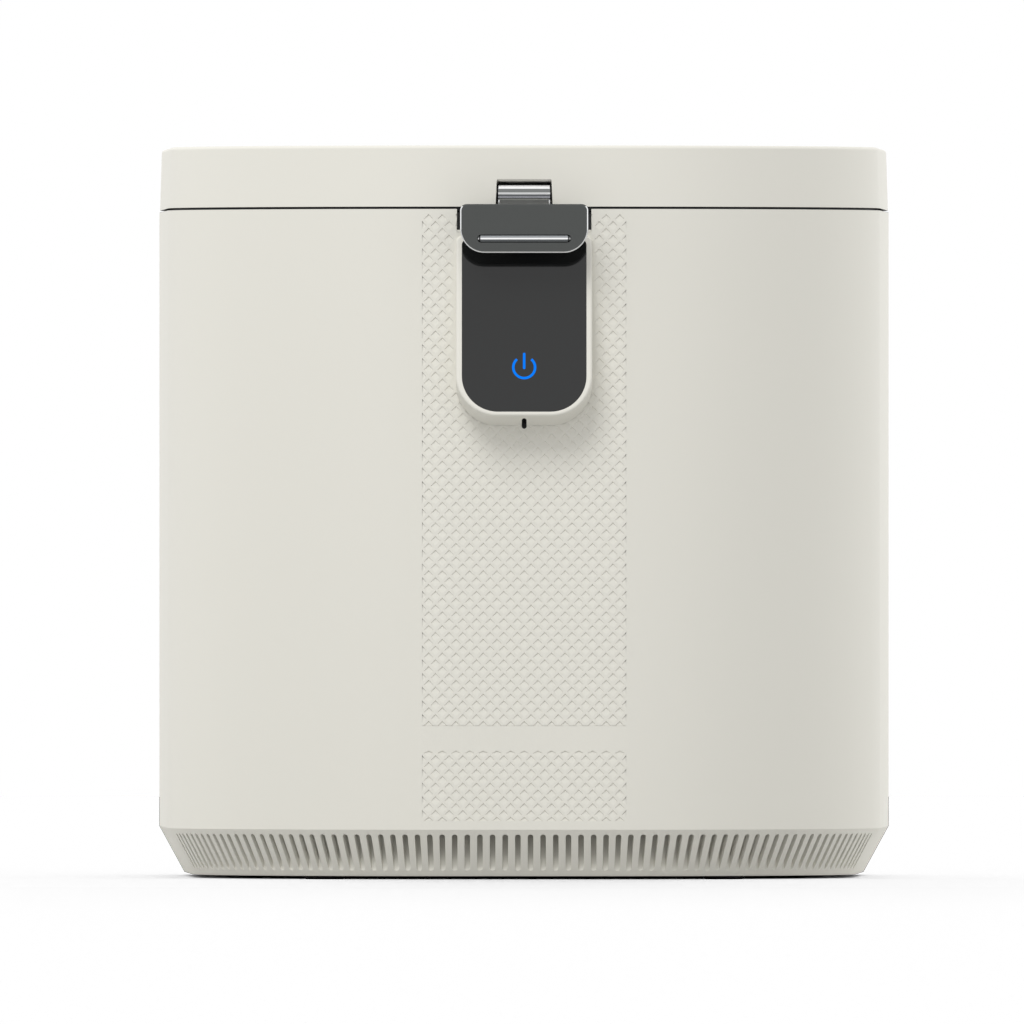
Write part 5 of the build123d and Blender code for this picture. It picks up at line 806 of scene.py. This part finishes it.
def power_outlines(key, slope):
    """Outlines of the power symbol's broken ring and bar, drawn larger up the glass by its slope."""
    start, stop = math.pi / 2 + key.gap, math.pi / 2 - key.gap + 2 * math.pi
    turns = [start + (stop - start) * part / RING_PARTS for part in range(RING_PARTS + 1)]
    inner = key.ring - key.stroke
    outlines = []
    for first, last in zip(turns, turns[1:]):
        outlines.append([on_circle(inner, first), on_circle(key.ring, first), on_circle(key.ring, last),
                         on_circle(inner, last)])
    half = key.stroke / 2
    low, high = ((end - key.height) / slope for end in (key.bar_low, key.bar_high))
    outlines.append([on_circle(half, first + math.pi * part / CAP_PARTS, middle)
                     for middle, first in ((high - half, 0.0), (low + half, math.pi))
                     for part in range(CAP_PARTS + 1)])
    return outlines


class TouchKeyMaker(bpy.types.Operator):
    """Make the black glass, its lit power symbol and what lies behind it"""
    bl_idname = "composter.make_touch_key"
    bl_label = "Touch Key"

    def execute(self, context):
        key = context.scene.composter_touch_key
        dress(["touch_panel"], finish(black_touch_glass, key), SMALL_EDGE)
        dress(["led_light_guide"], finish(diffusing_acrylic), SMALL_EDGE)
        dress(["control_board"], finish(solder_mask), 0)
        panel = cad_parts["touch_panel"].data
        front = max(panel.polygons, key=lambda face: face.area if face.normal.y < FACING_FRONT else 0.0)
        point, facing = front.center.copy(), front.normal.copy()
        right = Vector((1, 0, 0))
        up = facing.cross(right)
        up = up if up.z > 0 else -up
        level = (key.height - point.z) / up.z
        origin = Vector((0, point.y, point.z)) + up * level + facing * PRINT_LIFT
        symbol = flat_piece("power_symbol", power_outlines(key, up.z), origin, right, up,
                            finish(lit_print, key))
        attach(symbol, "housing")
        return {"FINISHED"}


class WellMaker(bpy.types.Operator):
    """Finish the deck, the heated well and its heater"""
    bl_idname = "composter.finish_well"
    bl_label = "Heated Well"

    def execute(self, context):
        nylon = finish(glass_filled_nylon, context.scene.composter_shell)
        dress(["top_deck"], nylon)
        dress(["thermostat", "reed_switch"], nylon, SMALL_EDGE)
        dress(["well_liner", "heater_plate"], finish(spun_aluminium))
        dress(["heating_element"], finish(zinc_plated_steel))
        dress(["well_insulation"], finish(ceramic_blanket), SOFT_EDGE)
        dress(["shaft_seal"], finish(pressed_silicone), SMALL_EDGE)
        return {"FINISHED"}


class LatchMaker(bpy.types.Operator):
    """Finish the latch paddle, its inlay, the pivot bar and the keeper"""
    bl_idname = "composter.finish_latch"
    bl_label = "Latch"

    def execute(self, context):
        latch = context.scene.composter_latch
        dress(["latch_paddle"], finish(anodised_paddle, latch), 0)
        dress(["latch_inlay"], finish(polished_inlay, latch), 0)
        dress(["latch_pivot_bar"], finish(polished_bar, latch), 0)
        dress(["latch_keeper"], finish(zinc_plated_steel), SMALL_EDGE)
        return {"FINISHED"}


class LidFittingsMaker(bpy.types.Operator):
    """Finish the lid's liner, seal, magnet and hinge"""
    bl_idname = "composter.finish_lid_fittings"
    bl_label = "Lid Fittings"

    def execute(self, context):
        dress(["lid_liner"], finish(glass_filled_nylon, context.scene.composter_shell))
        dress(["lid_seal"], finish(pressed_silicone))
        dress(["lid_magnet", "hinge_pins"], finish(zinc_plated_steel), SMALL_EDGE)
        dress(["hinge_lid_leaves", "hinge_body_leaves"], finish(powder_coated_steel), LEAF_EDGE)
        return {"FINISHED"}


class BucketMaker(bpy.types.Operator):
    """Finish the bucket, its handles and the agitator"""
    bl_idname = "composter.finish_bucket"
    bl_label = "Bucket and Agitator"

    def execute(self, context):
        nylon = finish(glass_filled_nylon, context.scene.composter_shell)
        dress(["bucket"], finish(nonstick_coating))
        dress(["bucket_handle_left", "bucket_handle_right"], nylon, GRIP_EDGE)
        dress(["handle_lugs", "agitator_coupling"], finish(zinc_plated_steel))
        dress(["bucket_bush"], finish(sintered_bronze), SMALL_EDGE)
        dress(["agitator"], finish(blasted_casting), SOFT_EDGE)
        return {"FINISHED"}


class DriveMaker(bpy.types.Operator):
    """Finish the gearbox, its gears, the shafts and the motor"""
    bl_idname = "composter.finish_drive"
    bl_label = "Drive"

    def execute(self, context):
        nylon = finish(glass_filled_nylon, context.scene.composter_shell)
        dress(["gearbox_base", "gearbox_cover"], nylon, CASE_EDGE)
        dress(["output_gear", "idler_gear"], finish(moulded_acetal), TURNED_EDGE)
        dress(["motor_pinion", "output_shaft", "drive_dog", "idler_axle", "output_bearing"],
              finish(zinc_plated_steel), TURNED_EDGE)
        dress(["drive_motor", "blower_motor"], finish(drawn_motor_can), CAN_EDGE)
        return {"FINISHED"}


def cross_recess_tree():
    """Node group that finds each screw head by its flat face and sinks a cross into it."""
    sockets = dict.fromkeys(("Least Face", "Reach", "Arm", "Depth"), "NodeSocketFloat")
    tree, entry = new_tree("cross_recess", {**sockets, "Material": "NodeSocketMaterial"})
    area = add_node(tree, "GeometryNodeInputMeshFaceArea")
    head = calculate(tree, "GREATER_THAN", area, entry["Least Face"])
    facing = add_node(tree, "GeometryNodeInputNormal").outputs[0]
    held = add_node(tree, "GeometryNodeCaptureAttribute", {"Geometry": entry["Geometry"]}, domain="FACE")
    held.capture_items.new("VECTOR", "facing")
    tree.links.new(facing, held.inputs["facing"])
    middles = add_node(tree, "GeometryNodeMeshToPoints", {"Mesh": held,
                                                          "Selection": head}, mode="FACES")
    turned = add_node(tree, "FunctionNodeAlignRotationToVector", {"Vector": held.outputs["facing"]},
                      axis="Z")
    deep = calculate(tree, "MULTIPLY", entry["Depth"], 2.0)
    cut = add_node(tree, "GeometryNodeMeshBoolean", {"Mesh 1": entry["Geometry"]},
                   operation="DIFFERENCE", solver="EXACT")
    for across, along in ((entry["Reach"], entry["Arm"]), (entry["Arm"], entry["Reach"])):
        size = add_node(tree, "ShaderNodeCombineXYZ", {"X": across, "Y": along, "Z": deep})
        arm = add_node(tree, "GeometryNodeMeshCube", {"Size": size})
        placed = add_node(tree, "GeometryNodeInstanceOnPoints", {
            "Points": middles, "Instance": arm,
            "Rotation": turned})
        cutter = add_node(tree, "GeometryNodeRealizeInstances", {"Geometry": placed})
        tree.links.new(cutter.outputs[0], cut.inputs["Mesh 2"])
    plated = add_node(tree, "GeometryNodeSetMaterial", {"Geometry": cut, "Material": entry["Material"]})
    add_node(tree, "NodeGroupOutput", {"Geometry": plated})
    return tree


class ScrewMaker(bpy.types.Operator):
    """Finish the screws and sink cross recesses into their heads"""
    bl_idname = "composter.finish_screws"
    bl_label = "Screws"

    def execute(self, context):
        screws = ("housing_screws", "lid_screws", "gearbox_screws")
        steel = finish(zinc_plated_steel)
        dress(screws, steel, TURNED_EDGE)
        sizes = socket_values(context.scene.composter_screws)
        tree = cross_recess_tree()
        for name in screws:
            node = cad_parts[name]
            recess = add_tree_modifier(node, tree, {**sizes, "Material": steel})
            node.modifiers.move(node.modifiers.find(recess.name), node.modifiers.find("shade_by_angle"))
        return {"FINISHED"}


class AirMaker(bpy.types.Operator):
    """Finish the filter, blower, exhaust, fan, boards and inlet"""
    bl_idname = "composter.finish_air_and_power"
    bl_label = "Air and Power"

    def execute(self, context):
        nylon = finish(glass_filled_nylon, context.scene.composter_shell)
        dress(["filter_sleeve", "blower_housing", "exhaust_grille", "power_inlet"], nylon)
        dress(["blower_impeller", "cooling_fan_frame", "cooling_fan_rotor"], nylon, SMALL_EDGE)
        dress(["carbon_filter"], finish(activated_carbon))
        dress(["power_board"], finish(solder_mask), SMALL_EDGE)
        return {"FINISHED"}


# ---- studio --------------------------------------------------------------------------------------
def aim(obj, target):
    """Turn a lamp or the camera towards a point."""
    obj.rotation_mode = "QUATERNION"
    obj.rotation_quaternion = (Vector(target) - obj.location).to_track_quat("-Z", "Y")


def add_world(scene, strength):
    """White room that shows plain white to the eye and in reflections, and lights the object plainly."""
    world = bpy.data.worlds.new("studio_room")
    scene.world = world
    world.use_nodes = True
    tree = world.node_tree
    tree.nodes.clear()
    rays = add_node(tree, "ShaderNodeLightPath").outputs
    seen = calculate(tree, "MAXIMUM", rays["Is Camera Ray"], rays["Is Glossy Ray"])
    seen = calculate(tree, "MAXIMUM", seen, rays["Is Transmission Ray"])
    shown = add_node(tree, "ShaderNodeBackground", {"Color": (1, 1, 1, 1), "Strength": 1.0})
    light = add_node(tree, "ShaderNodeBackground", {"Color": (1, 1, 1, 1), "Strength": strength})
    mixed = add_node(tree, "ShaderNodeMixShader", {0: seen, 1: light, 2: shown})
    add_node(tree, "ShaderNodeOutputWorld", {"Surface": mixed})


def floor_sheet(brink):
    """A wide sheet, level under the object, that falls gently before it so its shadow shows there."""
    rows = [(FLOOR_REACH, 0.0), *((brink - ahead, height) for ahead, height in FLOOR_BROWS)]
    rows.append((-FLOOR_REACH, rows[-1][1]))
    corners = [(side, along, height) for along, height in rows for side in (-FLOOR_REACH, FLOOR_REACH)]
    faces = [(2 * row + 2, 2 * row + 3, 2 * row + 1, 2 * row) for row in range(len(rows) - 1)]
    mesh = bpy.data.meshes.new("studio_floor")
    mesh.from_pydata(corners, [], faces)
    mesh.materials.append(finish(floor_paper))
    return place_object("studio_floor", mesh)


class StageMaker(bpy.types.Operator):
    """Set the camera, the lamps, the white room and the floor"""
    bl_idname = "composter.set_stage"
    bl_label = "Studio"

    def execute(self, context):
        scene = context.scene
        stage = scene.composter_stage
        scene.view_settings.view_transform = "Standard"
        camera = place_object("studio_camera", bpy.data.cameras.new("studio_camera"))
        camera.data.lens = stage.lens
        camera.data.clip_end = 3 * stage.distance
        camera.location = (stage.aim_x, -stage.distance, stage.aim_z)
        aim(camera, (stage.aim_x, 0.0, stage.aim_z))
        scene.camera = camera
        add_world(scene, stage.room)
        floor = floor_sheet(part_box("base_tray")[0].y)
        floor.is_shadow_catcher = True
        unlit = bpy.data.collections.new("lamps_pass_over")
        unlit.objects.link(floor)
        unlit.collection_objects[0].light_linking.link_state = "EXCLUDE"
        for side, place in LAMP_PLACES.items():
            lamp = place_object(f"{side}_lamp", bpy.data.lights.new(f"{side}_lamp", "AREA"))
            lamp.data.size = LAMP_SIZE
            lamp.data.energy = getattr(stage, side)
            lamp.location = place
            aim(lamp, LAMP_AIM)
            lamp.visible_glossy = False
            lamp.light_linking.receiver_collection = unlit
        return {"FINISHED"}


# ---- add-on --------------------------------------------------------------------------------------
MAKERS = (ShellMaker, TextureMaker, TouchKeyMaker, WellMaker, LatchMaker, LidFittingsMaker, BucketMaker,
          DriveMaker, ScrewMaker, AirMaker, StageMaker)


class LooksPanel(bpy.types.Panel):
    """Steps and settings of the composter's looks"""
    bl_idname = "COMPOSTER_PT_looks"
    bl_label = "Composter Looks"
    bl_space_type = "VIEW_3D"
    bl_region_type = "UI"
    bl_category = "Composter"

    def draw(self, context):
        for maker in MAKERS:
            self.layout.operator(maker.bl_idname)
        for name, group in SETTINGS.items():
            column = self.layout.column(heading=group.__doc__)
            for field in group.__annotations__:
                column.prop(getattr(context.scene, name), field)


def register():
    """Register the settings, the steps and the panel."""
    for thing in (*SETTINGS.values(), *MAKERS, LooksPanel):
        bpy.utils.register_class(thing)
    for name, group in SETTINGS.items():
        setattr(bpy.types.Scene, name, PointerProperty(type=group))


def unregister():
    """Remove what register added."""
    for name in SETTINGS:
        delattr(bpy.types.Scene, name)
    for thing in (LooksPanel, *MAKERS, *SETTINGS.values()):
        bpy.utils.unregister_class(thing)


def main():
    """Register, make every group of pieces in order and note the size before and after."""
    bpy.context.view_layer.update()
    register()
    for maker in MAKERS:
        group, step = maker.bl_idname.split(".")
        getattr(getattr(bpy.ops, group), step)()
    for name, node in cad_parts.items():
        if not node.hide_render and not node.modifiers:
            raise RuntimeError(f"{name} has no finish")


if __name__ == "__main__":
    main()
